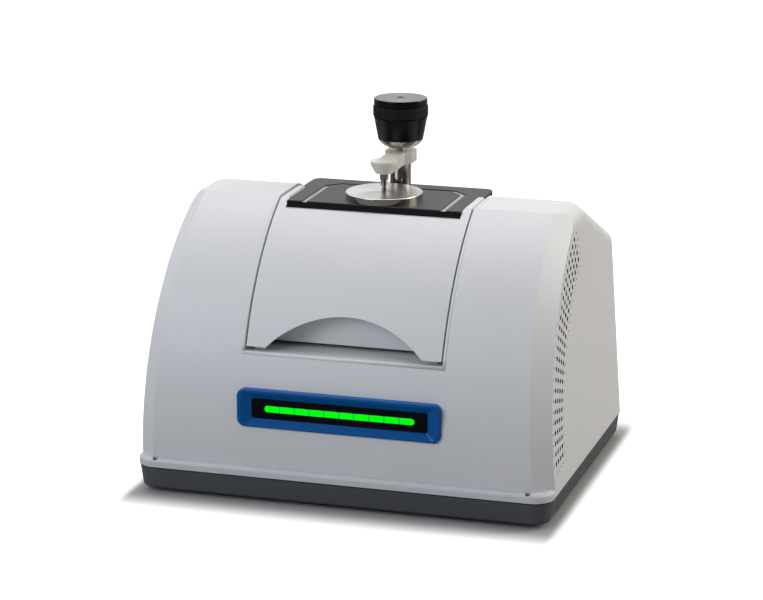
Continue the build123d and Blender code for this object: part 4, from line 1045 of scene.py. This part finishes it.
@dataclass
class Studio:
    """Pale floor, white surround, soft lamps and the photograph's camera."""

    floor_half: float = 6.0
    floor_bounce: float = 0.3
    # The sheet's colour to the eye, and how far out in X and Y it stays unlifted beside the base as a painted
    # shadow
    floor_shade: float = 0.44
    painted_shadow_margins: tuple[float, float] = (0.013, 0.05)
    world_light: float = 0.34
    front_gloss: float = 0.04
    # Y of a reflected direction where the surround's mirror image starts to brighten, and where it is white
    gloss_span: tuple[float, float] = (-0.5, 0.35)
    clip_end: float = 50.0

    def build(self) -> None:
        """Make the floor, world, lamps and camera."""
        self._floor()
        self._world()
        for lamp in LAMPS:
            lamp.hang()
        self._camera()
        bpy.context.scene.view_settings.view_transform = "Standard"

    def _floor(self) -> None:
        """White sheet on which the object stands, which keeps its shadow and holds a painted shadow round the
        base.
        """
        mesh = bpy.data.meshes.new("studio_floor")
        half = self.floor_half
        corners = [(-half, -half, 0), (half, -half, 0), (half, half, 0), (-half, half, 0)]
        mesh.from_pydata(corners, [], [(0, 1, 2, 3)])
        floor = bpy.data.objects.new("studio_floor", mesh)
        bpy.context.scene.collection.objects.link(floor)
        paper = bpy.data.materials.new("matt_white_paper")
        paper.use_nodes = True
        tree = paper.node_tree
        shader = tree.nodes["Principled BSDF"]
        shader.inputs["Roughness"].default_value = 1.0
        shader.inputs["Specular IOR Level"].default_value = 0.0
        seen = add_node(tree, "ShaderNodeLightPath")
        shade = add_node(
            tree,
            "ShaderNodeMapRange",
            {"Value": seen.outputs["Is Camera Ray"], "To Min": self.floor_bounce, "To Max": self.floor_shade},
        )
        tree.links.new(shade.outputs[0], shader.inputs["Base Color"])
        lift = self._lift_past_painted_shadow(tree)
        strength = add_node(
            tree, "ShaderNodeMath", {0: lift, 1: seen.outputs["Is Camera Ray"]}, operation="MULTIPLY"
        )
        white = {"Color": (1.0, 1.0, 1.0, 1.0), "Strength": strength.outputs[0]}
        glow = add_node(tree, "ShaderNodeEmission", white)
        both = add_node(tree, "ShaderNodeAddShader", {0: shader.outputs[0], 1: glow.outputs[0]})
        tree.links.new(both.outputs[0], tree.nodes["Material Output"].inputs[0])
        mesh.materials.append(paper)

    def _lift_past_painted_shadow(self, tree: bpy.types.NodeTree) -> bpy.types.NodeSocket:
        """Light the sheet up to white: not beside the base, which leaves a painted shadow there, and fully a
        little way off.

        Args:
            tree: Node tree of the sheet.

        Returns:
            The socket that gives the share of the light.
        """
        low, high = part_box("base_tray")
        texture = add_node(tree, "ShaderNodeTexCoord")
        place = add_node(tree, "ShaderNodeSeparateXYZ", {0: texture.outputs["Object"]})
        off = []
        for axis in (0, 1):
            middle, half = (low[axis] + high[axis]) / 2, (high[axis] - low[axis]) / 2
            centred = {0: place.outputs[axis], 1: middle}
            shifted = add_node(tree, "ShaderNodeMath", centred, operation="SUBTRACT")
            side = add_node(tree, "ShaderNodeMath", {0: shifted.outputs[0]}, operation="ABSOLUTE")
            margin = {"Value": side.outputs[0], "From Min": half, "From Max": half + self.painted_shadow_margins[axis]}
            off.append(add_node(tree, "ShaderNodeMapRange", margin).outputs[0])
        both = add_node(tree, "ShaderNodeCombineXYZ", {0: off[0], 1: off[1]})
        reach = add_node(tree, "ShaderNodeVectorMath", {0: both.outputs[0]}, operation="LENGTH")
        return add_node(
            tree, "ShaderNodeMapRange", {"Value": reach.outputs["Value"]}, interpolation_type="SMOOTHSTEP"
        ).outputs[0]

    def _world(self) -> None:
        """White surround for the eye and in glass; mirrored, it is white behind and dim in front."""
        world = bpy.data.worlds.new("studio_surround")
        bpy.context.scene.world = world
        world.use_nodes = True
        tree = world.node_tree
        backdrop = tree.nodes["Background"]
        backdrop.inputs["Color"].default_value = (1.0, 1.0, 1.0, 1.0)
        path = add_node(tree, "ShaderNodeLightPath")
        heading = add_node(tree, "ShaderNodeTexCoord")
        depth = add_node(tree, "ShaderNodeSeparateXYZ", {"Vector": heading.outputs["Generated"]})
        mirrored = add_node(
            tree,
            "ShaderNodeMapRange",
            {
                "Value": depth.outputs["Y"],
                "From Min": self.gloss_span[0],
                "From Max": self.gloss_span[1],
                "To Min": self.front_gloss,
                "To Max": 1.0,
            },
            interpolation_type="SMOOTHSTEP",
        )
        unseen = add_node(
            tree,
            "ShaderNodeMix",
            {"Factor": path.outputs["Is Glossy Ray"], "A": self.world_light, "B": mirrored.outputs[0]},
        )
        seen = add_node(
            tree,
            "ShaderNodeMath",
            {0: path.outputs["Is Camera Ray"], 1: path.outputs["Is Transmission Ray"]},
            operation="MAXIMUM",
        )
        links = {"Factor": seen.outputs[0], "A": unseen.outputs[0], "B": 1.0}
        strength = add_node(tree, "ShaderNodeMix", links)
        tree.links.new(strength.outputs[0], backdrop.inputs["Strength"])

    def _camera(self) -> None:
        """Stand the camera where the photograph was taken from."""
        yaw = math.radians(CAMERA_YAW)
        pitch = math.radians(CAMERA_PITCH)
        ahead = Vector((-math.sin(yaw) * math.cos(pitch), math.cos(yaw) * math.cos(pitch), -math.sin(pitch)))
        data = bpy.data.cameras.new("photo_camera")
        data.sensor_width = SENSOR_MM
        data.lens = FOCAL_PX * SENSOR_MM / IMAGE_WIDTH_PX
        data.clip_end = self.clip_end
        camera = bpy.data.objects.new("photo_camera", data)
        camera.location = Vector(CAMERA_TARGET) - ahead * CAMERA_DISTANCE
        camera.rotation_euler = ahead.to_track_quat("-Z", "Y").to_euler()
        bpy.context.scene.collection.objects.link(camera)
        bpy.context.scene.camera = camera


def main() -> None:
    """Load the frame, build each sub-assembly, then the studio."""
    logging.basicConfig(level=logging.INFO, format="%(message)s")
    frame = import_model()
    for part in (Housing, StatusLight, Accessory, PressureTower, OpticalBench, Electronics):
        part(frame).build()
        LOG.info("%s built", part.__name__)
    Studio().build()


if __name__ == "__main__":
    main()
